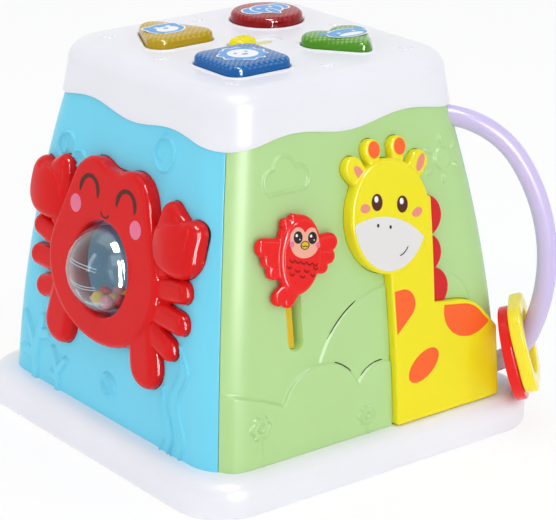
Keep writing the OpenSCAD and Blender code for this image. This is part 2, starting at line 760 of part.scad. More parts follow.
module sky_picture() {
    translate(sun_at) {
        circle(sun_r, $fn = 18);
        for (i = [0:rays - 1]) rotate(360 / rays * i + 90)
            translate([1.9 * sun_r, 0]) scale([1.7, 1]) circle(1.3, $fn = 6);
    }
    difference() {
        for (c = cloud_lobes) translate([c[0], c[1]]) circle(c[2], $fn = 18);
        translate([-70, 140]) square([50, 15.6]);
    }
}
slit_w = 0.9;
module slit(c, from, to) {
    intersection() {
        translate([c[0], c[1]]) difference() {
            circle(c[2] + slit_w / 2, $fn = 32);
            circle(c[2] - slit_w / 2, $fn = 32);
        }
        translate([c[0], c[1]]) polygon([[0, 0], 2 * c[2] * ahead(from), 2 * c[2] * ahead(to)]);
    }
}
module sound_slits() {
    slit(big_hill, 114, 143);
    slit(bushes[1], 26, 68);
    slit(bushes[2], 84, 136);
}
module right_panel() {
    color("skyblue") difference() {
        panel_shell(right);
        handle_sockets(tube_d / 2 - squeeze);
    }
}
module back_panel() { color("palegreen") panel_shell(back); }

// Cap
function cap_w(z) = half_w(cap_z) + cap_proud - cap_lean * (z - cap_z);
cap_r = corner_r + cap_proud;
cap_steps = 5;
shoulder_w = half_w(rim_z) - wall - fit;
function cap_foot(proud) = [
    for (k = [0:3], i = [0:per_side - 1])
        let (z = cap_z + swing(half_w(cap_z), corner_r, i))
        let (w = proud ? cap_w(z) : half_w(z) + fit, r = proud ? cap_r : corner_r + fit)
        let (p = turned(edge_point(w, r, i), k)) [p[0], p[1], z]
];
module cap_shell() {
    edge_z = top_z - cap_edge;
    skin(concat(
        [square_ring(shoulder_w - 1, corner_r - wall - 1, top_z - cap_wall),
            square_ring(shoulder_w, corner_r - wall, rim_z),
            square_ring(half_w(rim_z) + fit, corner_r + fit, rim_z),
            cap_foot(false), cap_foot(true)],
        [for (i = [0:cap_steps]) let (a = 90 * i / cap_steps, in = cap_edge * (1 - cos(a)))
            square_ring(cap_w(edge_z) - in, cap_r - 0.7 * in, edge_z + cap_edge * sin(a))]
    ));
}
module top_cap() {
    color("white") difference() {
        union() {
            cap_shell();
            translate([0, 0, top_z - cap_wall / 2]) linear_extrude(cap_wall / 2 + rim_h) all_outlines(rim_w);
            for (x = [-1, 1], y = [-1, 1]) translate([x * post_at, y * post_at, board_top])
                cylinder(d = post_d, h = top_z - cap_wall + bite - board_top);
        }
        translate([0, 0, top_z - over]) linear_extrude(2 * over) all_outlines(button_gap);
        translate([switch_at[0], switch_at[1], top_z - recess_t])
            linear_extrude(over) stadium(recess_l, recess_w);
        translate([switch_at[0], switch_at[1], top_z - over / 2]) linear_extrude(over)
            stadium(switch_travel + knob_stem_w + 2, switch_slot_w);
        for (x = [-1, 1], y = [-1, 1]) translate([x * post_at, y * post_at, board_top - 1])
            cylinder(d = screw_d, h = 8);
    }
}

// Crab and ball
module crab() {
    color("crimson") on_side(left) difference() {
        union() {
            for (p = crab_body) pad(p, crab_rise, 3.5, figure_deep);
            for (p = crab_claws) pad(p, claw_rise, 5.5, figure_deep);
            for (p = concat(crab_legs, crab_arms)) pad(p, leg_rise, 3.2, figure_deep);
            for (p = crab_feet) pad(p, foot_rise, 4.5, figure_deep);
            for (p = crab_feet) pad_seat(p);
        }
        for (p = claw_notches) hull() for (s = p) spot(s, 0, notch_floor, over);
        on_skin(ball_at[0], ball_at[1]) {
            translate([0, 0, -over]) cylinder(r = ball_hole_r, h = 2 * over);
            translate([0, 0, -over]) cylinder(r = cup_r + fit, h = over + cup_front);
        }
    }
}
module ball_cup() {
    color("lightsteelblue") ball_frame() difference() {
        union() {
            translate([0, 0, -ball_r - cup_gap - 2]) cylinder(r = cup_r - 5, h = 12);
            translate([0, 0, -ball_r + 6]) cylinder(r = cup_r, h = ball_r - 6 + cup_front - ball_out);
        }
        sphere(ball_r + cup_gap);
        cylinder(r = ball_r + cup_gap, h = over);
        rotate([0, 90, 0]) cylinder(d = pin_d, h = 2 * cup_r + 10, center = true);
    }
}
rib_w = 1.2;
rib_h = 0.6;
rib_count = 12;
module ball_half(facing) {
    ball_frame() {
        difference() {
            sphere(ball_r);
            sphere(ball_r - ball_wall);
            translate([-2 * ball_r, -2 * ball_r, facing > 0 ? -4 * ball_r : 0]) cube(4 * ball_r);
            if (facing > 0) rotate([0, 90, 0]) cylinder(d = pin_d, h = 3 * ball_r, center = true);
        }
        for (i = [0:rib_count - 1]) let (a = 360 / rib_count * (i + 0.5)) if (facing * sin(a) > 0)
            rotate([a, 0, 0]) rotate_extrude(angle = 130, start = 25)
                translate([ball_r - ball_wall - rib_h, -rib_w / 2]) square([rib_h + bite, rib_w]);
        if (facing < 0) for (s = [-1, 1]) rotate([0, s * 90, 0])
            translate([0, 0, ball_r - ball_wall / 2])
                cylinder(d = pin_d - 2 * pin_gap, h = cup_r - ball_r - fit);
    }
}
module ball_front() { color("lightcyan", 0.4) ball_half(1); }
module ball_back() { color("lightcyan", 0.4) ball_half(-1); }
bead_orbit = ball_r - ball_wall - rib_h - 0.4 - bead_d / 2;
bead_step = 2 * asin(bead_d / 2 / bead_orbit) + 1.2;
module bead(i) {
    ball_frame() rotate([lean(level(ball_z)), 0, 0]) rotate([90, 0, 0])
        rotate([0, 0, 60 * i]) rotate([0, i == 0 ? 0 : bead_step, 0])
            translate([0, 0, bead_orbit]) sphere(d = bead_d);
}
module yellow_beads() { color("gold") for (i = [0, 2, 5]) bead(i); }
module pink_beads() { color("hotpink") for (i = [1, 4]) bead(i); }
module red_beads() { color("crimson") for (i = [3, 6]) bead(i); }

// Giraffe
module giraffe() {
    color("gold") difference() {
        union() {
            pad(neck, neck_rise, 1.2, figure_deep);
            pad(trunk, neck_rise, 1.2, figure_deep);
            pad(giraffe_head, head_rise, 1.8, figure_deep);
            for (p = giraffe_horns) pad(p, ear_rise, 1.6, figure_deep);
            for (p = giraffe_ears) pad(p, ear_rise, 1.6, figure_deep);
            pad_seat(trunk);
        }
        translate([-tray_w / 2, -tray_w / 2, 0]) cube([tray_w, tray_w, tray_h + fit]);
    }
}
module mane() {
    color("red") difference() {
        for (p = mane_tufts) pad(p, mane_rise, 0.8, figure_deep);
        for (p = [neck, trunk, giraffe_head]) pad_hole(p);
    }
}

// Bird on its slide
module bird() {
    color("red") {
        pad(bird_body, bird_rise, 3.4, -bird_clear);
        for (p = bird_feathers) pad(p, wing_rise, 1.6, -bird_clear);
        for (p = bird_tail) pad(p, wing_rise, 1.6, -bird_clear);
        for (p = bird_crest) pad(p, wing_rise + 0.6, 1.6, -bird_clear);
        at_slot() translate([-stem_w / 2, stem_z - slot_mid - stem_h / 2, -stem_tail])
            cube([stem_w, stem_h, stem_tail + bird_rise / 2]);
    }
}
module bird_track() {
    color("gold") at_slot() translate([0, 0, -slot_deep - track_t]) difference() {
        linear_extrude(track_t) slot_shape(slot_w / 2 + slot_wall, slot_low, slot_high);
        translate([0, 0, -1]) linear_extrude(track_t + 2)
            slot_shape(stem_w / 2 + stem_gap, stem_z - bird_travel - stem_h / 2 + 1, stem_z + stem_h / 2 - 1);
    }
}
module bird_catch() {
    behind = slot_deep + track_t + track_gap + catch_t;
    color("white") at_slot() translate([0, stem_z - slot_mid, -behind]) difference() {
        translate([-catch_w / 2, -catch_w / 2, 0]) cube([catch_w, catch_w, catch_t]);
        translate([-stem_w / 2, -stem_h / 2, -1]) cube([stem_w, stem_h, catch_t + 2]);
    }
}

// Handle and rings
module handle() {
    color("plum") in_handle_plane() {
        skin(concat(
            [tube_ring(arc_start(0) - handle_root * ahead(handle_lead), handle_lead, tube_d / 2)],
            arc_rings(0, tube_d / 2),
            [for (i = [1, 2]) let (rings = arc_rings(i, tube_d / 2)) each [for (k = [1:bow_steps]) rings[k]]],
            [tube_ring(arc_start(3) + handle_root * ahead(arc_heading(3)), arc_heading(3), tube_d / 2)]
        ));
    }
}
module red_ring() {
    color("red") ring_place(red_at) rotate_extrude() difference() {
        translate([ring_hole / 2, -red_band / 2]) square([(red_ring_d - ring_hole) / 2, red_band]);
        for (s = [-1, 1]) translate([red_ring_d / 2, s * red_band / 2]) rotate(45) square(1.6, center = true);
    }
}
yellow_corner = 15;
module yellow_ring() {
    c = yellow_ring_w / 2 - yellow_corner;
    color("yellow") ring_place(yellow_at) translate([0, 0, -yellow_band / 2]) difference() {
        hull() for (x = [-1, 1], y = [-1, 1]) translate([x * c, y * c, 0]) {
            translate([0, 0, 0.8]) cylinder(r = yellow_corner, h = yellow_band - 1.6, $fn = 32);
            cylinder(r = yellow_corner - 0.8, h = yellow_band, $fn = 32);
        }
        translate([0, 0, -1]) cylinder(d = ring_hole, h = yellow_band + 2);
    }
}

// Buttons and what is under the cap
button_wall = 2.6;
module blue_button() {
    color("royalblue", 0.7) at_button(-1, -1) button_parts() {
        soft_button(square_ends, round_r);
        square_outline(flange_w);
        square_outline(-button_wall);
    }
}
module yellow_button() {
    color("gold", 0.7) at_button(-1, 1) button_parts() {
        soft_button(triangle_ends, tri_r);
        triangle_outline(flange_w);
        triangle_outline(-button_wall);
    }
}
module red_button() {
    color("firebrick", 0.7) at_button(1, 1) button_parts() {
        translate([0, 0, flange_low]) soft_corner(button_w / 2, flange_low);
        round_outline(flange_w);
        round_outline(-button_wall);
    }
}
module green_button() {
    color("limegreen", 0.7) at_button(1, -1) button_parts() {
        for (s = [-1, 1]) hull() {
            translate([s * lobe_at[0], lobe_at[1], flange_low]) soft_corner(lobe_r, flange_low);
            translate([tip_at[0], tip_at[1], flange_low]) soft_corner(tip_r, flange_low);
        }
        heart_outline(flange_w);
        heart_outline(-button_wall);
    }
}
module blue_key() { color("gainsboro") at_button(-1, -1) key_dome(); }
module yellow_key() { color("gainsboro") at_button(-1, 1) key_dome(); }
module red_key() { color("gainsboro") at_button(1, 1) key_dome(); }
module green_key() { color("gainsboro") at_button(1, -1) key_dome(); }
switch_box_h = 6;
module switch_knob() {
    color("yellow") translate([knob_x, switch_at[1], 0]) {
        hull() for (s = [-1, 1]) translate([s * (knob_l - knob_w) / 2, 0, knob_low]) {
            cylinder(d = knob_w, h = knob_rise * 0.5, $fn = 32);
            cylinder(d = knob_w * 0.86, h = knob_rise * 0.8, $fn = 32);
            cylinder(d = knob_w * 0.5, h = knob_rise, $fn = 32);
        }
        translate([-knob_stem_w / 2, -knob_stem_w / 2, board_top + switch_box_h + fit])
            cube([knob_stem_w, knob_stem_w, knob_low + bite - board_top - switch_box_h - fit]);
    }
}
module switch_box() {
    color("dimgray") translate([switch_at[0] - switch_travel / 2 - 5, switch_at[1] - 4, board_top])
        cube([switch_travel + 10, 8, switch_box_h]);
}
module circuit_board() {
    color("darkgreen") translate([0, 0, board_top - board_t]) difference() {
        translate([-board_w / 2, -board_w / 2, 0]) cube([board_w, board_w, board_t]);
        for (x = [-1, 1], y = [-1, 1]) translate([x * post_at, y * post_at, -1])
            cylinder(d = screw_d + 2 * fit, h = board_t + 2);
    }
}
lamp_at = 11;
module lamps() {
    color("ivory") for (x = [-1, 1], y = [-1, 1]) at_button(x, y) translate([-x * lamp_at, 0, board_top]) {
        cylinder(d = 3, h = 2.5);
        translate([0, 0, 2.5]) sphere(d = 3);
    }
}
module board_screws() {
    color("silver") for (x = [-1, 1], y = [-1, 1])
        translate([x * post_at, y * post_at, board_top - board_t - screw_head_t]) screw(board_t + 5);
}

base_tray();
battery_door();
door_screw();
cells();
cell_contacts();
base_screws();
speaker();
blue_panel();
green_panel();
right_panel();
back_panel();
top_cap();
crab();
ball_cup();
ball_front();
ball_back();
yellow_beads();
pink_beads();
red_beads();
giraffe();
mane();
bird();
bird_track();
bird_catch();
handle();
red_ring();
yellow_ring();
blue_button();
yellow_button();
red_button();
green_button();
blue_key();
yellow_key();
red_key();
green_key();
switch_knob();
switch_box();
circuit_board();
lamps();
board_screws();
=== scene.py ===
import json
import math
from functools import reduce

import bpy
import numpy as np
from mathutils import Matrix, Vector, geometry


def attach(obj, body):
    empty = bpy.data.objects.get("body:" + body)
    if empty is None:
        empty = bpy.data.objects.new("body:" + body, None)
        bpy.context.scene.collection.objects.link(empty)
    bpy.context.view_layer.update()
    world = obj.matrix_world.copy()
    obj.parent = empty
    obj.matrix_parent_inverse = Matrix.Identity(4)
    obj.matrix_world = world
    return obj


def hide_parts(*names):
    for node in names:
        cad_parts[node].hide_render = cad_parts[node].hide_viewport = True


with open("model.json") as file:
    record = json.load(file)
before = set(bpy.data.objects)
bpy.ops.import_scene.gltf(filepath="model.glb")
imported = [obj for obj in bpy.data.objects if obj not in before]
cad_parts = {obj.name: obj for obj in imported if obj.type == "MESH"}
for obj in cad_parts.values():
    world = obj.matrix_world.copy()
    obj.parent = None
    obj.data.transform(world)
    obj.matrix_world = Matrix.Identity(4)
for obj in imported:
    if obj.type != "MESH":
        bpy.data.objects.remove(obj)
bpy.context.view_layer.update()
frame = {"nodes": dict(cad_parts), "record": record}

# Main sizes of the toy, in millimetres, with +Z up and the front face towards -Y
TRAY_H, CAP_Z, RIM_Z, TOP_Z = 19.3, 181.7, 190.0, 208.8
FOOT, HEAD, BOW, CORNER = 101.3, 78.9, 3.5, 22.0
TRAY_W, TRAY_R, TRAY_EDGE = 115.0, 30.0, 10.0
CAP_PROUD, CAP_LEAN, CAP_EDGE, WAVE = 1.6, 0.13, 11.0, 2.2
BUTTON_AT, BUTTON_RISE = 33.5, 6.7
FRONT, RIGHT, BACK, LEFT = 0, 1, 2, 3
TAU = 2 * math.pi
ROOT = -1.8  # a figure's lower edge, below its panel's skin
SUNK = -2.2  # the ledge of a panel's cut-outs and the return of its ends
CUT_EDGE = -0.06  # how far inside a cut-out's outline the skin turns down
PROBE = 0.05  # half the distance over which a slope is measured
scene = bpy.context.scene


def half_w(z):
    """Half the width of the casing at a height."""
    s = (z - TRAY_H) / (CAP_Z - TRAY_H)
    return FOOT + (HEAD - FOOT) * s + 4 * BOW * s * (1 - s)


def lean(z):
    """Angle by which the casing leans in at a height."""
    s = (z - TRAY_H) / (CAP_Z - TRAY_H)
    return np.arctan((FOOT - HEAD - 4 * BOW * (1 - 2 * s)) / (CAP_Z - TRAY_H))


def turned(x, y, side):
    """A point of the front face, moved round to another side."""
    return ((x, y), (-y, x), (-x, -y), (y, -x))[side]


def on_face(side, u, v, h, bend=False):
    """A point across, up and out of a face. With bend it follows the corner round."""
    w, a = half_w(v), lean(v)
    x, y = u, -w - h * np.cos(a)
    if bend:
        flat = w - CORNER
        phi = np.arcsin(np.clip((np.abs(u) - flat) / CORNER, 0, 0.9))
        reach = CORNER + h * np.cos(a)
        x = np.sign(u) * (np.minimum(np.abs(u), flat) + reach * np.sin(phi))
        y = -flat - reach * np.cos(phi)
    x, y = turned(x, y, side)
    return np.stack(np.broadcast_arrays(x, y, v + h * np.sin(a)), -1)


def turns(count):
    """Angles evenly round a circle."""
    return np.linspace(0, TAU, count + 1)[:-1]


def level(ring, z):
    """A flat ring of points at a height."""
    return np.column_stack([ring, np.full(len(ring), z)])


def ring_of(cx, cy, rx, ry, count, turn=0.0):
    """Points round an oval that is turned by an angle."""
    a, c, s = turns(count), math.cos(turn), math.sin(turn)
    x, y = rx * np.cos(a), ry * np.sin(a)
    return np.stack([cx + x * c - y * s, cy + x * s + y * c], 1)


# Outlines as signed distances, negative inside
def disc(x, y, cx, cy, r):
    return np.hypot(x - cx, y - cy) - r


def oval(x, y, cx, cy, rx, ry, turn=0.0):
    c, s = math.cos(math.radians(turn)), math.sin(math.radians(turn))
    px, py = (x - cx) * c + (y - cy) * s, (y - cy) * c - (x - cx) * s
    near = np.hypot(px / rx, py / ry)
    return near * (near - 1) / np.maximum(np.hypot(px / rx ** 2, py / ry ** 2), 1e-6)


def drop(x, y, ax, ay, ra, bx, by, rb):
    """Two discs with their common tangents."""
    l = math.hypot(bx - ax, by - ay)
    ux, uy = (bx - ax) / l, (by - ay) / l
    q = np.abs((y - ay) * ux - (x - ax) * uy)
    t = (x - ax) * ux + (y - ay) * uy
    b = (ra - rb) / l
    a = math.sqrt(1 - b * b)
    k = a * t - b * q
    far = np.where(k > a * l, np.hypot(q, t - l) - rb, a * q + b * t - ra)
    return np.where(k < 0, np.hypot(q, t) - ra, far)


def polygon(x, y, points):
    shape = np.broadcast(x, y).shape
    best, flips = np.full(shape, 1e9), np.zeros(shape, bool)
    for (ax, ay), (bx, by) in zip(points, points[1:] + points[:1]):
        ex, ey = bx - ax, by - ay
        t = np.clip(((x - ax) * ex + (y - ay) * ey) / (ex * ex + ey * ey), 0, 1)
        best = np.minimum(best, np.hypot(x - ax - t * ex, y - ay - t * ey))
        if ay != by:
            flips ^= ((ay > y) != (by > y)) & (x < ax + ex * (y - ay) / ey)
    return np.where(flips, -best, best)


def hull(discs):
    """Corner points of the hull round some discs or ovals (x, y, rx, ry)."""
    pts = np.concatenate([ring_of(*d, 48) for d in discs]).tolist()
    return [tuple(pts[i]) for i in geometry.convex_hull_2d(pts)]


def smin(a, b, k):
    """The lesser of two distances, with a soft join."""
    m = np.clip(0.5 + 0.5 * (b - a) / k, 0, 1)
    return b + (a - b) * m - k * m * (1 - m)


def least(*fields):
    return reduce(np.minimum, fields)


def most(*fields):
    return reduce(np.maximum, fields)


def corner(a, b):
    """Distance from the quarter of a plane where both values are negative."""
    return np.minimum(np.maximum(a, b), 0) + np.hypot(np.maximum(a, 0), np.maximum(b, 0))


def plate(d, h, low, high, soft):
    """A raised plate over an outline, with a rounded upper edge."""
    return np.maximum(corner(d + soft, h - high + soft) - soft, low - h)


def ease(t):
    t = np.clip(t, 0, 1)
    return t * t * (3 - 2 * t)


# Meshes
def piece(name, verts, faces, materials, body, replaces=(), which=None):
    mesh = bpy.data.meshes.new(name)
    verts = np.asarray(verts, float) * 0.001
    mesh.from_pydata(verts.tolist(), [], [list(map(int, f)) for f in faces])
    for m in materials if isinstance(materials, (list, tuple)) else [materials]:
        mesh.materials.append(m)
    if which is not None:
        mesh.polygons.foreach_set("material_index", np.asarray(which, np.int32))
    mesh.polygons.foreach_set("use_smooth", np.ones(len(mesh.polygons), bool))
    mesh.validate()
    mesh.update()
    obj = bpy.data.objects.new(name, mesh)
    scene.collection.objects.link(obj)
    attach(obj, body)
    if replaces:
        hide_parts(*replaces)


class Build:
    """Collects vertices and faces, with a material number for each face."""

    def __init__(self):
        self.verts, self.faces, self.which = [], [], []

    def add(self, verts, faces, m=0):
        n = len(self.verts)
        self.verts.extend(np.asarray(verts, float).reshape(-1, 3).tolist())
        self.faces.extend([[n + int(i) for i in f] for f in faces])
        self.which.extend([m] * len(faces))

    def loft(self, rings, m=0, first=False, last=False, closed=True):
        rings = [np.asarray(r, float) for r in rings]
        n, k = len(rings[0]), len(rings)
        span = n if closed else n - 1
        faces = [(i * n + j, i * n + (j + 1) % n, (i + 1) * n + (j + 1) % n, (i + 1) * n + j)
                 for i in range(k - 1) for j in range(span)]
        verts = np.concatenate(rings)
        if first:
            verts = np.vstack([verts, rings[0].mean(0)])
            faces += [(len(verts) - 1, (j + 1) % n, j) for j in range(n)]
        if last:
            verts = np.vstack([verts, rings[-1].mean(0)])
            faces += [(len(verts) - 1, (k - 1) * n + j, (k - 1) * n + (j + 1) % n) for j in range(n)]
        self.add(verts, faces, m)

    def sheet(self, outer, holes, z, up=True, m=0):
        """A flat sheet with holes, all given as rings of points."""
        pts, edges = [], []
        for ring in [outer] + holes:
            n = len(pts)
            pts += [Vector((float(p[0]), float(p[1]))) for p in ring]
            edges += [(n + i, n + (i + 1) % len(ring)) for i in range(len(ring))]
        out = geometry.delaunay_2d_cdt(pts, edges, [], 0, 1e-6)
        verts = np.array([(p.x, p.y, z) for p in out[0]])
        tris = np.array(out[2])
        mid = verts[tris].mean(1)
        inside = [polygon(mid[:, 0], mid[:, 1], [tuple(p[:2]) for p in ring]) < 0 for ring in [outer] + holes]
        tris = tris[inside[0] & ~np.any(inside[1:], axis=0)]
        self.add(verts, tris if up else tris[:, ::-1], m)

    def make(self, name, materials, body, slot, replaces=()):
        piece(name, self.verts, self.faces, materials, body, replaces, self.which)


def nets(field, low, high, step):
    """A smooth surface over a solid given as a field, from a grid of cells."""
    axes = [a + step * np.arange(int((b - a) / step) + 2) for a, b in zip(low, high)]
    f = field(*np.meshgrid(*axes, indexing="ij", sparse=True))
    inside = f < 0
    corners = [(i, j, k) for i in (0, 1) for j in (0, 1) for k in (0, 1)]
    n = [s - 1 for s in f.shape]
    count = sum(inside[i:i + n[0], j:j + n[1], k:k + n[2]].astype(int) for i, j, k in corners)
    cells = np.argwhere((count > 0) & (count < 8))
    ids = np.full(n, -1)
    ids[tuple(cells.T)] = np.arange(len(cells))
    total, hits = np.zeros((len(cells), 3)), np.zeros((len(cells), 1))
    for a in corners:
        for axis in range(3):
            if a[axis]:
                continue
            b = tuple(1 if i == axis else a[i] for i in range(3))
            fa, fb = f[tuple((cells + a).T)], f[tuple((cells + b).T)]
            cross = (fa < 0) != (fb < 0)
            t = np.where(cross, fa / np.where(cross, fa - fb, 1), 0)
            at = np.array(a) + np.outer(t, np.array(b) - a)
            total += np.where(cross[:, None], at, 0)
            hits += cross[:, None]
    pts = np.array(low) + step * (cells + total / hits)
    for _ in range(3):
        g = np.stack([(field(*(pts + d).T) - field(*(pts - d).T)) / (2 * PROBE) for d in PROBE * np.eye(3)], 1)
        move = -(field(*pts.T) / np.maximum((g * g).sum(1), 0.05))[:, None] * g
        pts += np.clip(move, -0.3 * step, 0.3 * step)
    faces, unit = [], np.eye(3, dtype=int)
    for axis in range(3):
        b, c = (axis + 1) % 3, (axis + 2) % 3
        change = np.argwhere(np.diff(inside, axis=axis))
        off = change[:, [b, c]]
        change = change[((off > 0) & (off < (n[b], n[c]))).all(1)]
        quad = np.stack([ids[tuple((change - db * unit[b] - dc * unit[c]).T)]
                         for db, dc in ((1, 1), (0, 1), (0, 0), (1, 0))], 1)
        out = inside[tuple(change.T)]
        quad[~out] = quad[~out][:, ::-1]
        faces.append(quad)
    return pts, np.concatenate(faces)


def figure(name, field, low, high, step, material, side, body, node, bend=False):
    pts, faces = nets(field, low, high, step)
    piece(name, on_face(side, *pts.T, bend=bend), faces, material, body, (node,))


def edge_between(outside, low, high, rounds):
    """The furthest places from low towards high that are not outside, by halving."""
    for _ in range(rounds):
        mid = (low + high) / 2
        out = outside(mid)
        low, high = np.where(out, low, mid), np.where(out, mid, high)
    return low


def top_of(field, u, v, high):
    """Height of a figure's upper surface at some places."""
    shape = np.shape(u)
    return edge_between(lambda h: field(u, v, h) > 0, np.full(shape, -1.0), np.full(shape, high), 22)


class Print(Build):
    """Colour printed on a figure: thin patches that lie on its surface."""
    LIFT = 0.07

    def __init__(self, field, side, high, bend=False):
        super().__init__()
        self.field, self.side, self.high, self.bend = field, side, high, bend

    def lay(self, u, v, up=0.0):
        h = top_of(self.field, u, v, self.high) + self.LIFT + up
        return on_face(self.side, u, v, h, self.bend)

    def patch(self, points, m, up=0.0):
        points = np.asarray(points, float)
        mid = points.mean(0)
        rings = [mid + (points - mid) * t for t in (0.02, 0.2, 0.4, 0.6, 0.8, 0.92, 1.0)]
        self.loft([self.lay(*r.T, up) for r in rings][::-1], m, last=True)

    def oval(self, cx, cy, rx, ry, m, turn=0.0, up=0.0):
        self.patch(ring_of(cx, cy, rx, ry, 40, math.radians(turn)), m, up)

    def stroke(self, points, width, m, up=0.0, wide=1.0):
        p = np.asarray(points, float)
        d = np.gradient(p, axis=0)
        d /= np.hypot(d[:, 0], d[:, 1])[:, None]
        side = np.stack([-d[:, 1] * wide, d[:, 0]], 1)
        k = np.linspace(0, 1, len(p))
        w = 0.5 * width * np.minimum(1, 0.45 + 6 * np.minimum(k, 1 - k))[:, None]
        rows = [p - side * w, p, p + side * w]
        self.loft([self.lay(*r.T, up) for r in rows], m, closed=False)


# Materials
def linear(rgb):
    return [(c / 255 / 12.92 if c <= 10 else ((c / 255 + 0.055) / 1.055) ** 2.4) for c in rgb] + [1.0]


def put(node, **values):
    """Sets a node's inputs. An underscore in an input's name stands for a space."""
    for name, value in values.items():
        node.inputs[name.replace("_", " ")].default_value = value
    return node


class Tree:
    """The nodes of a material or of the world, with short ways to add and join them."""

    def __init__(self, owner):
        owner.use_nodes = True
        self.nodes, self.links = owner.node_tree.nodes, owner.node_tree.links

    def add(self, kind, **values):
        return put(self.nodes.new(kind), **values)

    def join(self, *sockets):
        """Links a socket to an input, then the next two, and so on."""
        for source, end in zip(sockets[::2], sockets[1::2]):
            self.links.new(source, end)

    def maths(self, operation, *terms):
        """The result of a sum over sockets and plain numbers."""
        node = self.add("ShaderNodeMath")
        node.operation = operation
        for term, socket in zip(terms, node.inputs):
            if isinstance(term, (int, float)):
                socket.default_value = term
            else:
                self.join(term, socket)
        return node.outputs["Value"]

    def colours(self, share, first, second):
        """A blend of two colours."""
        mix = self.add("ShaderNodeMix")
        mix.data_type = "RGBA"
        mix.inputs[6].default_value, mix.inputs[7].default_value = first, second
        self.join(share, mix.inputs["Factor"])
        return mix.outputs[2]

    def shaders(self, share, first, second, out):
        """A blend of two shaders."""
        mix = self.add("ShaderNodeMixShader")
        self.join(share, mix.inputs[0], first, mix.inputs[1], second, mix.inputs[2], mix.outputs["Shader"], out)


def material(name):
    m = bpy.data.materials.new(name)
    tree = Tree(m)
    return m, tree, tree.nodes["Principled BSDF"]


def moulded(name, rgb, rough=0.3, shine=0.15, grain=0.012, metal=0.0, vary=0.03):
    """Moulded plastic: a little drift of colour and gloss, and a fine grain."""
    m, tree, bsdf = material(name)
    place = tree.add("ShaderNodeTexCoord").outputs["Object"]
    drift = tree.add("ShaderNodeTexNoise", Scale=22, Detail=3)
    fine = tree.add("ShaderNodeTexNoise", Scale=1400, Detail=2)
    gloss = tree.add("ShaderNodeMapRange", To_Min=rough * 0.85, To_Max=rough * 1.15)
    bump = tree.add("ShaderNodeBump", Strength=grain, Distance=0.0004)
    base = linear(rgb)[:3]
    low, high = [c * (1 - vary) for c in base] + [1], [min(1, c * (1 + vary)) for c in base] + [1]
    tree.join(place, drift.inputs["Vector"], place, fine.inputs["Vector"])
    tree.join(tree.colours(drift.outputs["Fac"], low, high), bsdf.inputs["Base Color"])
    tree.join(drift.outputs["Fac"], gloss.inputs["Value"], gloss.outputs["Result"], bsdf.inputs["Roughness"])
    tree.join(fine.outputs["Fac"], bump.inputs["Height"], bump.outputs["Normal"], bsdf.inputs["Normal"])
    put(bsdf, Metallic=metal, Specular_IOR_Level=shine)
    return m


def see_through(name, rgb, rough=0.03):
    """Thin clear plastic: what lies behind shows through it, with more gloss towards the rim."""
    m, tree, bsdf = material(name)
    tree.nodes.remove(bsdf)
    place = tree.add("ShaderNodeTexCoord")
    haze = tree.add("ShaderNodeTexNoise", Scale=60)
    span = tree.add("ShaderNodeMapRange", To_Min=rough * 0.6, To_Max=rough * 1.4)
    gloss = tree.add("ShaderNodeBsdfAnisotropic")
    facing = tree.add("ShaderNodeLayerWeight", Blend=0.5)
    rim = tree.add("ShaderNodeMapRange", To_Min=0.05, To_Max=0.85)
    through = tree.add("ShaderNodeBsdfTransparent", Color=linear(rgb))
    tree.join(place.outputs["Object"], haze.inputs["Vector"], haze.outputs["Fac"], span.inputs["Value"])
    tree.join(span.outputs["Result"], gloss.inputs["Roughness"])
    tree.join(tree.maths("POWER", facing.outputs["Facing"], 3.0), rim.inputs["Value"])
    tree.shaders(rim.outputs["Result"], through.outputs["BSDF"], gloss.outputs["BSDF"],
                 tree.nodes["Material Output"].inputs["Surface"])
    return m


DOT_PITCH = 0.0034


def tinted(name, deep, bright):
    """Tinted plastic over a dotted underside: rows of bright dots in a deeper colour, on the top only."""
    m, tree, bsdf = material(name)
    split = tree.add("ShaderNodeSeparateXYZ")
    tree.join(tree.add("ShaderNodeTexCoord").outputs["Object"], split.inputs["Vector"])
    waves = [tree.maths("SINE", tree.maths("MULTIPLY", split.outputs[axis], TAU / DOT_PITCH)) for axis in "XY"]
    dots = tree.add("ShaderNodeMapRange", From_Min=-0.1, From_Max=0.7)
    upper = tree.add("ShaderNodeMapRange", From_Min=(TOP_Z + 3.4) / 1000, From_Max=(TOP_Z + 5.4) / 1000)
    tree.join(tree.maths("MULTIPLY", *waves), dots.inputs["Value"], split.outputs["Z"], upper.inputs["Value"])
    on_top = tree.maths("MULTIPLY", dots.outputs["Result"], upper.outputs["Result"])
    tree.join(tree.colours(on_top, linear(deep), linear(bright)), bsdf.inputs["Base Color"])
    put(bsdf, Roughness=0.06, Specular_IOR_Level=0.2)
    return m


WHITE = moulded("white plastic", (240, 240, 246))
BLUE = moulded("blue plastic", (120, 217, 243))
GREEN = moulded("green plastic", (183, 220, 150), 0.36)
RED = moulded("crab plastic", (220, 26, 27), 0.03, 0.12, vary=0.05)
BIRD = moulded("bird plastic", (238, 38, 36), 0.07, 0.12, vary=0.05)
MANE = moulded("mane plastic", (212, 36, 40), 0.2)
YELLOW = moulded("yellow plastic", (244, 230, 36), 0.22)
RING_YELLOW = moulded("ring plastic", (250, 232, 56), 0.15, 0.2)
LAVENDER = moulded("lavender plastic", (213, 200, 241), 0.25)
# Darker copies of the panel colours for the faces sunk in the gaps round the figures: painted shade.
BLUE_GAP_SHADE = moulded("blue painted gap shade", (62, 128, 150), 0.6)
GREEN_GAP_SHADE = moulded("green painted gap shade", (96, 118, 76), 0.6)
# Paler green than the panel's for the walls down into the bird's slot, lightened against their shade: painted
# light.
SLOT_WALL_PAINTED_LIGHT = moulded("slot wall green with painted light", (196, 236, 146))
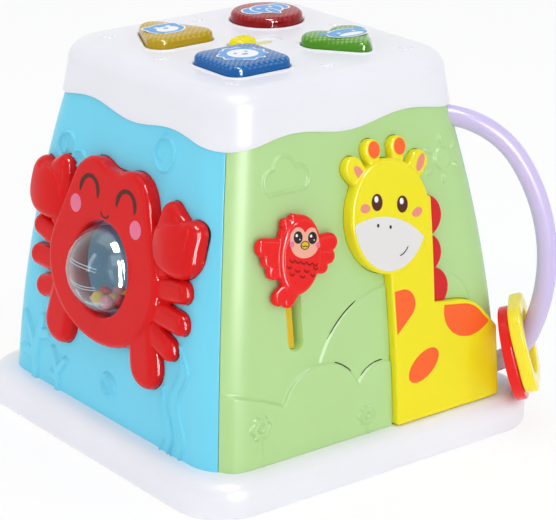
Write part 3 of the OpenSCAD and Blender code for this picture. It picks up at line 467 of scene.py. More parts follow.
# Cup behind the ball, much paler than its blue-grey plastic to make up for the shade inside it: painted light.
CUP_PAINTED_LIGHT = moulded("cup plastic with painted light", (178, 228, 250))
PINK = moulded("pink plastic", (242, 142, 154), 0.1, 0.3)
CLEAR = see_through("clear plastic", (240, 247, 250))
DARK = moulded("dark plastic", (46, 46, 50), 0.5)
STEEL = moulded("steel", (190, 190, 194), metal=1.0)
BOARD = moulded("circuit board", (24, 84, 46), 0.4)
RUBBER = moulded("rubber", (218, 218, 218), 0.7, grain=0.03)
CELL = moulded("cell wrap", (190, 148, 64), metal=0.6)
INK_BROWN = moulded("brown ink", (84, 34, 26))
# Dark ink for printed eyes, nostrils and mouths, also used as the painted shade of the sound slits.
DARK_INK_AND_SLIT_SHADE = moulded("dark ink and painted slit shade", (38, 30, 32))
INK_PINK = moulded("pink ink", (232, 120, 150))
INK_ORANGE = moulded("orange ink", (255, 104, 46))
INK_WHITE = moulded("white ink", (246, 246, 248))
INK_PALE = moulded("pale ink", (230, 228, 226))
INK_PEACH = moulded("peach ink", (240, 174, 152))
INK_DEEP_RED = moulded("deep red ink", (146, 12, 20))
INK_BLUSH = moulded("blush ink", (240, 146, 128))
RIB = moulded("rib plastic", (220, 228, 232), 0.2)
BEAD_GOLD = moulded("gold bead", (238, 190, 52), 0.1, 0.3)
BEAD_RED = moulded("red bead", (228, 72, 82), 0.1, 0.3)
INK_GOLD = moulded("gold ink", (226, 188, 30))
INK_BLUE = moulded("blue ink", (92, 164, 226))
TINT_BLUE = tinted("tinted blue", (16, 96, 166), (88, 146, 200))
TINT_YELLOW = tinted("tinted yellow", (186, 154, 18), (212, 184, 68))
TINT_RED = tinted("tinted red", (142, 10, 18), (192, 46, 52))
TINT_GREEN = tinted("tinted green", (82, 148, 34), (140, 192, 90))

SLOT_LOOK = {
    "white": WHITE, "blue": BLUE, "green": GREEN, "crab_red": RED, "bird_red": BIRD, "yellow": YELLOW,
    "lavender": LAVENDER, "bluegrey": CUP_PAINTED_LIGHT, "clear": CLEAR, "clear_blue": TINT_BLUE, "clear_red": TINT_RED,
    "clear_yellow": TINT_YELLOW, "clear_green": TINT_GREEN, "pink": PINK, "silicone": RUBBER, "steel": STEEL,
    "board": BOARD, "dark": DARK, "cell": CELL,
}
for part in frame["record"]["subparts"]:
    node = frame["nodes"][part["node"]]
    node.data.materials.clear()
    node.data.materials.append(SLOT_LOOK[part["material_slot"]])


# Panels: a fine skin whose pictures stand out and whose cut-outs sink in
FLAT = float(half_w(100.0)) - CORNER
PANEL_STEP, PLAIN_STEP, SEAM = 0.63, 2.0, 0.15
LEDGE_W, RELIEF_FADE = 1.4, 8.0


def panel_point(side, p, v, h):
    """A point p along a panel's skin, at height v and h out of it."""
    over = np.sign(p) * np.clip(np.abs(p) - FLAT, 0, None) / CORNER
    flat, a = half_w(v) - CORNER, lean(v)
    reach = CORNER + h * np.cos(a)
    x = np.clip(p, -FLAT, FLAT) * flat / FLAT + reach * np.sin(over)
    x, y = turned(x, -flat - reach * np.cos(over), side)
    return np.stack(np.broadcast_arrays(x, y, v + h * np.sin(a)), -1)


def panel_x(p, v):
    """Place across a face, seen square on, of a point that is p along its skin."""
    return panel_point(FRONT, p, v, 0.0)[..., 0]


def panel(name, side, look, gap, node, cut=None, relief=None, step=PANEL_STEP, opening=None):
    end = FLAT + CORNER * math.pi / 4 - SEAM
    cols, rows = int(2 * end / step) + 1, int((RIM_Z - TRAY_H) / step) + 1
    p, v = np.meshgrid(np.linspace(-end, end, cols), np.linspace(TRAY_H, RIM_Z, rows))
    h, d = np.zeros_like(p), np.full(p.shape, 9.0)
    if cut:
        for _ in range(3):
            d, e = cut(panel_x(p, v), v), PROBE
            gp = (cut(panel_x(p + e, v), v) - cut(panel_x(p - e, v), v)) / (2 * e)
            gv = (cut(panel_x(p, v + e), v + e) - cut(panel_x(p, v - e), v - e)) / (2 * e)
            near = np.abs(d) < 0.52 * step
            scale = np.where(near, d / np.maximum(gp ** 2 + gv ** 2, 0.2), 0)
            p, v = p - scale * gp, np.clip(v - scale * gv, TRAY_H, RIM_Z)
        d = cut(panel_x(p, v), v)
    if relief:
        h = relief(panel_x(p, v), v) * ease((end - np.abs(p)) / RELIEF_FADE)
    h = np.where(d < CUT_EDGE, SUNK, h)
    p, v, d, h = (np.concatenate([k[:, :1], k, k[:, -1:]], 1) for k in (p, v, d, h))
    h[:, [0, -1]] = SUNK
    index = np.arange(p.size).reshape(p.shape)
    quads = np.stack([index[:-1, :-1], index[:-1, 1:], index[1:, 1:], index[1:, :-1]], -1).reshape(-1, 4)
    dq = d.ravel()[quads]
    keep = dq.max(1) > -LEDGE_W
    quads, dq = quads[keep], dq[keep]
    near = np.abs(dq)
    flip = (near[:, 0] + near[:, 2]) > (near[:, 1] + near[:, 3])
    a = np.where(flip[:, None], quads[:, [1, 2, 3]], quads[:, [0, 1, 2]])
    b = np.where(flip[:, None], quads[:, [1, 3, 0]], quads[:, [0, 2, 3]])
    tris = np.concatenate([a, b])
    if opening:
        tris = tris[opening(panel_x(p, v), v).ravel()[tris].min(1) > CUT_EDGE]
    # Faces sunk inside a cut-out take the darker gap colour: painted shade in the gap round each figure.
    which = (d.ravel()[tris].min(1) < CUT_EDGE).astype(int)
    skin = panel_point(side, p.ravel(), v.ravel(), h.ravel())
    piece(name, skin, tris, [look, gap], "housing", (node,), which)


def step_up(d, rise, soft=0.5):
    """Height of a picture that stands out of a panel."""
    return rise * ease((soft - d) / (2 * soft))


# Crab, mirrored about the middle of its face
BALL_Z, BALL_R, BALL_OUT = 101.5, 24.5, 0.3
CRAB_RISE = 8.5
CRAB_HALF = hull([(0, 101, 50, 40), (17, 138.3, 18.6, 18.6)])
CRAB_MIDDLE = hull([(0, 101, 50, 40), (0, 136, 16.4, 16.4)])
CLAW_GAPE = [(28, 142), (46, 136), (51, 139.4), (60, 141.4), (66.5, 147), (66.5, 170), (28, 170)]
PINCERS = ((55, 129.6, 16, 49.8, 143.4, 6.8), (62.6, 127, 13.2, 68.6, 137.8, 7.4))
# Legs, foot and arm: two discs, how far below the shell, and the softness of the edge
LIMBS = (((46, 104, 7, 65.5, 107.5, 6.2), 2.5, 4.6), ((46, 92, 7, 66, 91, 6.2), 2.5, 4.6),
         ((42, 81, 7, 58.5, 75.5, 6.4), 2.5, 4.6), ((36, 80, 12, 40.5, 61, 12.5), 1.5, 6.0),
         ((40, 112, 7, 54, 122, 8), 2.5, 3.2))


def crab_body(u, v):
    soft = 0.05 + 6.0 * ease((v - 136) / 12)
    sides = smin(polygon(u, v, CRAB_HALF), polygon(-u, v, CRAB_HALF), soft)
    return smin(sides, polygon(u, v, CRAB_MIDDLE), soft)


def crab_cut(u, v):
    m = np.abs(u)
    limbs = PINCERS + tuple(shape for shape, _, _ in LIMBS)
    return least(crab_body(u, v), *[drop(m, v, *shape) for shape in limbs]) - 0.25


def crab(u, v, h):
    m = np.abs(u)
    inner, outer = [drop(m, v, *shape) for shape in PINCERS]
    crown = 3.8 * (((m - 58.5) / 19) ** 2 + ((v - 128) / 20) ** 2)
    bowl = plate(smin(inner, outer, 3.0), h, ROOT, CRAB_RISE + 2.6 - crown, 5.5)
    fall = 2.4 * (((m - 50.5) / 14) ** 2 + ((v - 138) / 18) ** 2)
    f = least(plate(crab_body(u, v), h, ROOT, CRAB_RISE, 3.5),
              plate(inner, h, ROOT, CRAB_RISE - 0.6 - fall, 5.0),
              -smin(-bowl, polygon(m, v, CLAW_GAPE), 1.8),
              *[plate(drop(m, v, *shape), h, ROOT, CRAB_RISE - lower, soft) for shape, lower, soft in LIMBS])
    return -smin(-f, disc(u, v, 0, BALL_Z, BALL_R + 0.6), 1.6)


CORALS = ((2.8, ((-67.5, 16, -68, 36), (-68, 34, -61, 56), (-68, 36, -79, 53), (-68, 33, -80, 33),
                 (-64, 46, -56, 48))),
          (2.1, ((-44, 16, -46, 32), (-46, 31, -50.5, 41), (-45, 30, -38, 38), (-44, 25, -52, 27))))


def sea(u, v):
    rises = []
    for x, z, r in ((32.6, 170, 9.2), (-53.6, 152.8, 8.8), (3.6, 38, 6.5), (-41, 148, 7)):
        gleam = oval(u, v, x - 0.3 * r, z + 0.15 * r, 0.28 * r, 0.5 * r)
        rises += [step_up(np.abs(disc(u, v, x, z, r - 0.7)) - 0.7, 1.8, 0.4), step_up(np.abs(gleam) - 0.5, 1.0)]
    for r, arms in CORALS:
        rises += [step_up(drop(u, v, x0, z0, r, x1, z1, 0.94 * r), 1.7, 0.4) for x0, z0, x1, z1 in arms]
    for x, top in ((57, 54), (67, 79)):
        bend = 3.4 * np.sin((v - TRAY_H) / 6.2)
        blade = np.maximum(np.abs(u - x - bend) - 3.4 * np.clip((top - v) / 12, 0.15, 1), v - top)
        rises += [step_up(np.abs(blade) - 0.7, 1.7), step_up(blade, 0.5)]
    return most(*rises)


# Giraffe, mane and bird
NECK = hull([(15.8, 21.6, 2, 2), (38, 21.6, 2, 2), (43.2, 136, 2, 2), (15.8, 130, 2, 2)])
TRUNK = hull([(15.8, 21.6, 2, 2), (15.8, 80, 2, 2), (83, 21.6, 2, 2), (83, 57.5, 2, 2),
              (59, 57.2, 21.2, 21.2), (41, 79.5, 2, 2)])
HEAD_OVAL = (16.7, 132, 26.6, 29.8)


def giraffe_outlines(u, v):
    trunk = np.minimum(polygon(u, v, NECK), polygon(u, v, TRUNK))
    horns = [smin(disc(u, v, 10.6, 167.2, 5.6), drop(u, v, 10.8, 164, 3.6, 11.5, 152, 3.8), 2.5),
             smin(disc(u, v, 27.8, 166.2, 5.5), drop(u, v, 27.2, 163, 3.6, 25.6, 152, 3.8), 2.5)]
    ears = [drop(u, v, 3, 152, 5.6, -2.5, 160, 6.2), drop(u, v, 34, 149, 5.6, 40.8, 156.4, 5.8)]
    return trunk, oval(u, v, *HEAD_OVAL), least(*horns, *ears)


def giraffe(u, v, h):
    trunk, head, top = giraffe_outlines(u, v)
    rows = ((trunk, 5.8, 1.4), (head, 7.0, 2.2), (top, 4.8, 1.8))
    return least(*[plate(d, h, ROOT, rise, soft) for d, rise, soft in rows])


def giraffe_cut(u, v):
    return least(*giraffe_outlines(u, v))


def mane_outline(u, v):
    return least(disc(u, v, 42.4, 127, 11), disc(u, v, 41, 107.3, 10.4), disc(u, v, 43.2, 88, 11.3))


def mane(u, v, h):
    f = plate(mane_outline(u, v), h, ROOT, 3.2, 0.9)
    return np.maximum(f, 0.4 - giraffe_cut(u, v))


BIRD_BODY = (-43.3, 124.3, 13.8, 20.2, -12)
BIRD_WINGS = ((-54, 129.5, 5.2, -64, 132, 4.8), (-54, 124, 5, -61.6, 125.2, 4.4),
              (-53, 119, 4.6, -59.4, 119, 4.2), (-32, 126.5, 5, -22.6, 126.6, 4.8),
              (-33, 121, 4.6, -24.4, 119.8, 4.2), (-35, 117, 4.2, -28.8, 115, 3.5))
BIRD_TAIL = ((-50, 109, 4.5, -57.4, 105, 4.2), (-48, 108, 4.5, -52, 102.8, 4))
BIRD_CREST = ((-45, 138, 4.6, -43.8, 142.2, 3.1), (-47, 137, 4.6, -49.2, 141, 3.0),
              (-50, 128, 5.4, -50, 136, 3.6))
BIRD_LOW = 1.5


def bird(u, v, h):
    body = oval(u, v, *BIRD_BODY)
    tops = [plate(body, h, BIRD_LOW, 7.0, 3.4), plate(body + 2.4, h, BIRD_LOW, 7.5, 0.6)]
    for spots, rise in ((BIRD_WINGS, 5.3), (BIRD_TAIL, 5.3), (BIRD_CREST, 5.9)):
        tops += [plate(drop(u, v, *s), h, BIRD_LOW, rise, 2.4) for s in spots]
    return least(*tops)


SLOT_X, SLOT_LOW, SLOT_HIGH = -46.5, 79.2, 124.0
SLOT_R, SLOT_DEEP, TRACK_DEEP = 5.0, 9.0, 2.6


def slot_outline(u, v):
    return drop(u, v, SLOT_X, SLOT_LOW, SLOT_R, SLOT_X, SLOT_HIGH, SLOT_R - 0.01)


def field_cut(u, v):
    return least(giraffe_cut(u, v) - 0.3, mane_outline(u, v) - 0.2, slot_outline(u, v))


BIG_HILL, SMALL_HILL = (15, 44.5, 51.5), (48, 72, 23.3)
SUN_X, SUN_Z = 59.6, 154.1
BUSHES = ((-145.3, -138.9, 206.6), (-33, 38, 26.3), (6.5, 39, 17.6))


def field(u, v):
    near = least(*[disc(u, v, *b) for b in BUSHES], np.maximum(v - 45.3, u - 13.8))
    rises = [step_up(disc(u, v, *BIG_HILL), 0.9), step_up(disc(u, v, *SMALL_HILL), 0.9), step_up(near, 1.9)]
    for x, z, r in ((-73.4, 40.1, 7.0), (-4.1, 29.5, 6.0)):
        petals = 1 + 0.13 * np.cos(6 * np.arctan2(v - z, u - x))
        bloom = np.maximum(disc(u, v, x, z, 0.86 * r * petals), -disc(u, v, x, z, 0.28 * r))
        stem = drop(u, v, x + 1.0, TRAY_H, 0.7, x, z - 0.8 * r, 0.7)
        rises += [step_up(least(bloom, stem), 2.7, 0.4), step_up(np.abs(bloom + 0.5) - 0.5, 3.3, 0.4)]
    sun = [disc(u, v, SUN_X, SUN_Z, 5.6)]
    for i in range(6):
        a = TAU * (i + 0.5) / 6
        x, z = SUN_X + 10.6 * math.cos(a), SUN_Z + 10.6 * math.sin(a)
        sun.append(oval(u, v, x, z, 2.3, 1.3, math.degrees(a)))
    cloud = least(disc(u, v, -50.5, 161.6, 6.8), disc(u, v, -43.4, 166.6, 7.2), disc(u, v, -35, 161.4, 6.2),
                  np.maximum(np.abs(u + 42.7) - 7.8, np.abs(v - 159.6) - 4.2))
    cloud = np.maximum(cloud, 156.0 - v)
    return most(*rises, step_up(least(*sun), 1.2), step_up(np.abs(cloud) - 0.7, 1.2))


panel("sea_side", LEFT, BLUE, BLUE_GAP_SHADE, "blue_panel", crab_cut, sea)
panel("meadow_side", FRONT, GREEN, GREEN_GAP_SHADE, "green_panel", field_cut, field, opening=slot_outline)
panel("plain_side", RIGHT, BLUE, BLUE_GAP_SHADE, "right_panel", step=PLAIN_STEP)
panel("plain_back", BACK, GREEN, GREEN_GAP_SHADE, "back_panel", step=PLAIN_STEP)

figure("crab_face", crab, (-81, 44, -2.4), (81, 160, 12.4), 0.66, RED, LEFT, "housing", "crab")
figure("giraffe_form", giraffe, (-16, 18.9, -2.4), (88, 178, 9.4), 0.7, YELLOW, FRONT, "housing",
       "giraffe", bend=True)
figure("mane_tufts", mane, (28, 70, -2.4), (57, 140, 4.2), 0.6, MANE, FRONT, "housing", "mane")
figure("bird_form", bird, (-71, 96, 0.9), (-16, 150, 8.4), 0.42, BIRD, FRONT, "bird", "bird")

# Walls down into the bird's slot in the paler green of painted light, with a gold strip of the track inside.
slot_walls = Build()
around = turns(96)
slot_ends = np.where(np.sin(around) > 0, SLOT_HIGH, SLOT_LOW)
slot_rows = ((SLOT_DEEP, 3.4), (4.5, 3.9), (1.8, 4.4), (0.6, 4.75), (0.0, SLOT_R))
slot_walls.loft([on_face(FRONT, SLOT_X + r * np.cos(around), slot_ends + r * np.sin(around), -k)[::-1]
                 for k, r in slot_rows])
track_right = SLOT_X + 0.6
for across, depth in (((SLOT_X - SLOT_R, track_right), (-TRACK_DEEP, -TRACK_DEEP)),
                      ((track_right, track_right), (-TRACK_DEEP, -6.0))):
    slot_walls.loft([on_face(FRONT, np.array(across), np.full(2, z), np.array(depth))
                     for z in np.linspace(SLOT_LOW - 3.6, SLOT_HIGH, 24)], 1, closed=False)
slot_walls.make("slot_walls", [SLOT_WALL_PAINTED_LIGHT, INK_GOLD], "housing", "green")

# Prints
crab_print = Print(crab, LEFT, 10.0)
for s in (-1, 1):
    t = np.linspace(math.pi, 0, 33)
    lid = np.stack([s * 17 + 8.2 * np.cos(t), 137 + 9.6 * np.sin(t) ** 0.8], 1)
    crab_print.stroke(lid, 2.2, 0, wide=1.45)
    crab_print.oval(s * 27.8, 129.6, 5.0, 4.8, 1)
t = np.linspace(math.pi * 1.08, math.pi * 1.92, 21)
crab_print.stroke(np.stack([3.9 * np.cos(t) - 0.6, 132.0 + 3.3 * np.sin(t)], 1), 1.0, 0, wide=1.3)
crab_print.make("crab_print", [INK_BROWN, INK_PINK], "housing", "crab_red")

giraffe_print = Print(giraffe, FRONT, 9.6, bend=True)


def inset_ring(d, cx, cy, margin, count=96):
    """Points where an outline's distance reaches a margin, seen from a middle point."""
    a = turns(count)
    r = edge_between(lambda r: d(cx + r * np.cos(a), cy + r * np.sin(a)) > margin,
                     np.zeros(count), np.full(count, 80.0), 40)
    return ring_of(cx, cy, r, r, count)


def ear_pink(*shape):
    return lambda u, v: np.maximum(oval(u, v, *shape), 0.25 - oval(u, v, *HEAD_OVAL))


LEAF = hull([(20.5, 84.4, 8.4, 8.4), (13, 85, 7.6, 7.6), (13.5, 68.5, 0.6, 0.6)])
SPOTS = ((lambda u, v: np.maximum(polygon(u, v, LEAF), 15.4 - u), 19, 83),
         (lambda u, v: oval(u, v, 32.7, 49.05, 11.7, 6.8, 31.7), 32.7, 49),
         (lambda u, v: np.maximum(oval(u, v, 66, 74, 17.9, 16.2), giraffe_outlines(u, v)[0] + 1.9), 63, 68))
EAR_PINKS = ((ear_pink(0.3, 157.0, 2.3, 5.2, 35), -1, 159), (ear_pink(40.9, 155.6, 2.3, 4.8, -31), 41.6, 156.6))
MUZZLE = (lambda u, v: np.maximum(oval(u, v, 15.9, 132, 25.8, 29.6) + 1.8, disc(u, v, 3.5, 91.5, 42.4)),
          15, 118)
for colour, (outline, x, z) in [(0, MUZZLE)] + [(5, k) for k in SPOTS] + [(4, k) for k in EAR_PINKS]:
    giraffe_print.patch(inset_ring(outline, x, z, 0.0, 160), colour)
for x, z in ((7.7, 141.2), (24.2, 137.2)):
    giraffe_print.oval(x, z, 3.6, 4.4, 1)
    giraffe_print.oval(x - 0.35, z + 1.65, 1.3, 1.65, 2, up=0.04)
for x, z in ((6.9, 129.4), (15.0, 127.1)):
    giraffe_print.oval(x, z, 0.8, 1.0, 3, up=0.04)
t = np.linspace(0, 1, 15)
giraffe_print.stroke(np.stack([19.5 + 6.2 * t, 111.3 + 3.8 * t ** 2.1], 1), 0.65, 3, up=0.04)
for x, z, rx, turn in ((-0.3, 139.5, 3.2, -11), (33.6, 131.3, 3.5, 11)):
    giraffe_print.oval(x, z, rx, 2.35, 4, turn)
for x, z in ((11.2, 167.3), (28.2, 166.2)):
    giraffe_print.oval(x, z, 3.8, 4.4, 5)
giraffe_print.make("giraffe_print", [INK_PALE, INK_BROWN, INK_WHITE, DARK_INK_AND_SLIT_SHADE, INK_BLUSH, INK_ORANGE],
                   "housing", "yellow")

bird_print = Print(bird, FRONT, 8.2)


def mask(u, v):
    lobes = smin(oval(u, v, -45.5, 133.2, 4.9, 5.8, -12), oval(u, v, -37.0, 131.4, 4.9, 5.8, -12), 0.6)
    face = smin(lobes, oval(u, v, -41.6, 129.0, 8.6, 6.2, -12), 1.0)
    return np.maximum(face, oval(u, v, *BIRD_BODY) + 3.0)


bird_print.patch(inset_ring(mask, -41.4, 130.2, 0.0, 160), 0)
for x, z in ((-45.2, 133.9), (-36.3, 131.9)):
    bird_print.oval(x, z, 2.8, 3.1, 1, up=0.04)
    bird_print.oval(x - 0.8, z + 1.1, 0.75, 0.75, 2, up=0.08)
    bird_print.oval(x + 0.9, z - 1.2, 0.35, 0.35, 2, up=0.08)
for grow, colour, up in ((1.25, 1, 0.04), (1.0, 3, 0.07)):
    bird_print.oval(-41.4, 129.2, 2.3 * grow, 1.75 * grow, colour, turn=-10, up=up)
bird_print.stroke([(-43.6, 129.4), (-42.4, 128.7), (-41.4, 128.9), (-40.4, 128.3), (-39.3, 128.6)],
                  0.5, 1, up=0.1)
for x, z in ((-49.4, 131.2), (-33.2, 127.7)):
    bird_print.oval(x, z, 1.5, 1.5, 4, up=0.05)


def scallops(x, z, count, width, drop_by):
    """A row of feather edges that slopes down to the right."""
    for i in range(count):
        k = np.linspace(0, 1, 9)
        at = x + (i + k) * width
        edge = np.stack([at, z - 0.33 * (at - x) - drop_by * np.sin(math.pi * k)], 1)
        bird_print.stroke(edge, 0.85, 5, up=0.03)


scallops(-52.0, 124.4, 5, 3.5, 1.5)
for x, z in ((-52.4, 120.4), (-47.5, 117.5), (-41.8, 116.2), (-36, 116.4),
             (-51, 116.5), (-44.7, 114), (-38.3, 113.4)):
    scallops(x - 1.6, z + 1.1, 1, 3.2, 1.2)
bird_print.make("bird_print", [INK_PEACH, DARK_INK_AND_SLIT_SHADE, INK_WHITE, INK_GOLD, INK_PINK, INK_DEEP_RED],
                "bird", "bird_red")

# Thin dark strips along three hill edges: painted shade where the sound slits open into the casing.
slits = Print(lambda u, v, h: h - field(u, v), FRONT, 4.0)
for (x, z, r), first, last in ((BIG_HILL, 114, 143), (BUSHES[1], 41, 69), (BUSHES[2], 84, 136)):
    t = np.radians(np.linspace(first, last, 41))
    slits.stroke(np.stack([x + (r + 0.55) * np.cos(t), z + (r + 0.55) * np.sin(t)], 1), 0.65, 0)
slits.make("sound_slits", [DARK_INK_AND_SLIT_SHADE], "housing", "green")


# Tray
RING_BEND, RING_FLAT = 16, 32


def square_ring(w, r, z):
    """Points round a square with round corners, with each point's share of the way along its side."""
    pts, way = [], []
    arc, flat = r * math.pi / 4, w - r
    for side in range(4):
        for i in range(2 * RING_BEND + RING_FLAT):
            a = math.pi / 4 * (max(0, i - RING_BEND - RING_FLAT) - max(0, RING_BEND - i)) / RING_BEND
            t = min(max((i - RING_BEND) / RING_FLAT, 0), 1)
            x, y = flat * (2 * t - 1) + r * math.sin(a), -flat - r * math.cos(a)
            pts.append((*turned(x, y, side), z))
            way.append((arc + a * r + 2 * flat * t) / (2 * flat + 2 * arc))
    return np.array(pts), np.array(way)


tray = Build()
arc = np.radians(np.linspace(0, 90, 13))
profile = [(1.5, 0.0), (0.4, 0.5), (0.1, 1.1), (0.0, 1.6), (0.0, 5.0)]
profile += [(TRAY_EDGE * (1 - math.cos(a)), TRAY_H - TRAY_EDGE * (1 - math.sin(a))) for a in arc]
profile += [(15.5, TRAY_H), (20.0, TRAY_H)]
tray.loft([square_ring(TRAY_W - i, TRAY_R - 0.6 * i, z)[0] for i, z in profile])
DOOR = np.array([(-31.2, 20.1), (31.2, 20.1), (31.2, 34.8), (38.2, 34.8), (38.2, 49.2), (31.2, 49.2),
                 (31.2, 63.9), (-31.2, 63.9)])
BOSSES = [(FRONT, -71.37), (FRONT, -7.14)]
BOSSES += [(side, u) for side in (LEFT, RIGHT, BACK) for u in (-59.48, 59.48)]
BOSS_AT, BOSS_DEEP = FOOT - 2.4 - 4 + 0.8, 11.2
screw_holes = [ring_of(*turned(u, -BOSS_AT, side), 3.5, 3.5, 24) for side, u in BOSSES]
GRILLE_Y, GRILLE_PITCH = -45, 4.6
grille = []
for k in range(4):
    for i in range(max(1, 6 * k)):
        a, r = TAU * i / max(1, 6 * k), GRILLE_PITCH * k
        grille.append(ring_of(r * math.cos(a), GRILLE_Y + r * math.sin(a), 1.2, 1.2, 14))
tray.sheet(square_ring(TRAY_W - 1.5, TRAY_R - 0.9, 0)[0], [DOOR] + screw_holes + grille, 0.0, up=False)
for ring, deep in [(DOOR, 2.3)] + [(r, BOSS_DEEP) for r in screw_holes] + [(r, 2.4) for r in grille]:
    tray.loft([level(ring, z) for z in (0.0, deep)])
for ring in screw_holes:
    tray.sheet(ring, [], BOSS_DEEP, up=False)
tray.make("foot_tray", WHITE, "housing", "white", ("base_tray",))


# Buttons: their outlines about their own middle
def rounded(x, y, half, r):
    """A square of a given half width, grown by r so that its corners are round."""
    return corner(np.abs(x) - half, np.abs(y) - half) - r


TRIANGLE = [(-11.5, -11.5), (11.5, -11.5), (0.0, 11.5)]
BUTTONS = (("blue", -1, -1, lambda x, y: rounded(x, y, 12, 8), TINT_BLUE),
           ("yellow", -1, 1, lambda x, y: polygon(x, y, TRIANGLE) - 8.5, TINT_YELLOW),
           ("red", 1, 1, lambda x, y: np.hypot(x, y) - 20, TINT_RED),
           ("green", 1, -1, lambda x, y: drop(np.abs(x), y, 9.2, 7.2, 10.8, 0.0, -15.0, 5.0), TINT_GREEN))
BUTTON_TOP = TOP_Z + BUTTON_RISE


# Cap
def cap_w(z):
    return half_w(CAP_Z) + CAP_PROUD - CAP_LEAN * (z - CAP_Z)


def stadium(half_l, r, count=48):
    a = turns(count)
    return np.stack([np.sign(np.round(np.cos(a), 6)) * (half_l - r) + r * np.cos(a), r * np.sin(a)], 1)


cap = Build()
wave_z = CAP_Z - WAVE * np.cos(2 * TAU * square_ring(half_w(CAP_Z), CORNER, 0.0)[1])
edge_z, edge_r = TOP_Z - CAP_EDGE, CORNER + CAP_PROUD
rings = []
for inset, down in ((1.9, -2.0), (1.75, 0.4), (1.2, 0.12), (0.5, 0.0), (0.12, 0.3), (0.0, 0.8)):
    ring = np.array([square_ring(cap_w(z) - inset, edge_r - inset, z)[0][i] for i, z in enumerate(wave_z)])
    ring[:, 2] = wave_z + down
    rings.append(ring)
low, high = rings[-1], square_ring(cap_w(edge_z), edge_r, edge_z)[0]
rings += [low + (high - low) * t for t in (0.2, 0.4, 0.6, 0.8, 1.0)]
for a in np.radians(np.linspace(0, 90, 14))[1:]:
    inset = CAP_EDGE * (1 - math.cos(a))
    z = edge_z + CAP_EDGE * math.sin(a)
    rings.append(square_ring(cap_w(edge_z) - inset, edge_r - 0.7 * inset, z)[0])
cap.loft(rings)
BUTTON_RIM = ((3.0, 0.0), (2.5, 0.12), (2.2, 0.5), (1.7, 0.76), (1.2, 0.8),
              (0.7, 0.7), (0.45, 0.3), (0.4, -2.4))
holes = []
for _, sx, sy, shape, _ in BUTTONS:
    at = np.array([sx * BUTTON_AT, sy * BUTTON_AT])
    rim = [(inset_ring(shape, 0, 0, m) + at, z) for m, z in BUTTON_RIM]
    holes.append(rim[0][0])
    cap.loft([level(r, TOP_Z + z) for r, z in rim])
SWITCH_FLOOR, SLIT_FLOOR = TOP_Z - 1.2, TOP_Z - 2.4
holes.append(stadium(17.3, 7.3))
cap.loft([level(stadium(l, r), z) for l, r, z in
          ((17.3, 7.3, TOP_Z), (17.05, 7.05, TOP_Z - 0.15), (17, 7, TOP_Z - 0.5), (17, 7, SWITCH_FLOOR))])
cap.sheet(stadium(17, 7), [stadium(11, 2.5)], SWITCH_FLOOR)
cap.loft([level(stadium(11, 2.5), z) for z in (SWITCH_FLOOR, SLIT_FLOOR)])
cap.sheet(stadium(11.4, 2.9), [], SLIT_FLOOR, m=1)
cap.sheet(rings[-1][:, :2], holes, TOP_Z)
# Small raised flowers
FLOWER_R = 4.2
PETAL = ((0.4, -0.1), (0.39, 0.3), (0.33, 0.5), (0.2, 0.58))
EYE = ((0.34, -0.1), (0.32, 0.6), (0.22, 0.75), (0.1, 0.8))
for x, y in ((-58, 3), (58, 3), (3, -58), (3, 58), (-57, -57), (57, -57), (57, 57), (-57, 57)):
    spots = [(*at, PETAL) for at in ring_of(x, y, 0.6 * FLOWER_R, 0.6 * FLOWER_R, 5)] + [(x, y, EYE)]
    for cx, cy, rows in spots:
        cap.loft([level(ring_of(cx, cy, k * FLOWER_R, k * FLOWER_R, 20), TOP_Z + z) for k, z in rows],
                 last=True)
cap.make("wavy_cap", [WHITE, YELLOW], "housing", "white", ("top_cap",))

DOME_SIDE = BUTTON_TOP - 3.2
for name, sx, sy, shape, look in BUTTONS:
    button = Build()
    rows = [(0.0, TOP_Z - 2.6), (0.0, TOP_Z + 1.5), (-0.25, DOME_SIDE)]
    for a in np.radians(np.linspace(10, 90, 9)):
        rows.append((-0.25 - 2.9 * (1 - math.cos(a)), DOME_SIDE + 2.5 * math.sin(a)))
    rings = [level(inset_ring(shape, 0, 0, m), z) for m, z in rows]
    for k in (0.85, 0.65, 0.4, 0.15):
        ring = rings[len(rows) - 1].copy()
        ring[:, :2] *= k
        ring[:, 2] += 0.6 * (1 - k * k)
        rings.append(ring)
    button.loft([r + np.array([sx * BUTTON_AT, sy * BUTTON_AT, 0]) for r in rings], last=True)
    button.make(name + "_dome", look, name + "_button", "clear_" + name, (name + "_button",))


# Stickers: thin patches on the domes
def button_top(x, y):
    return BUTTON_TOP - 0.66 + 0.6 * np.clip(1 - (np.hypot(x, y) / 17) ** 2, 0, 1)


class Sticker(Build):
    def __init__(self, at, shift):
        super().__init__()
        self.at, self.shift = np.array(at), np.array(shift)

    def blob(self, x, y, rx, ry, m, up, bumps=0, depth=0.0, turn=0.0):
        k = 1 + depth * np.cos(bumps * turns(96))
        points = ring_of(x, y, rx * k, ry * k, 96, turn) + self.shift
        mid = points.mean(0)
        rows = [mid + (points - mid) * t for t in (1.0, 0.75, 0.5, 0.25)]
        self.loft([np.column_stack([r + self.at, button_top(*r.T) + up]) for r in rows], m, last=True)


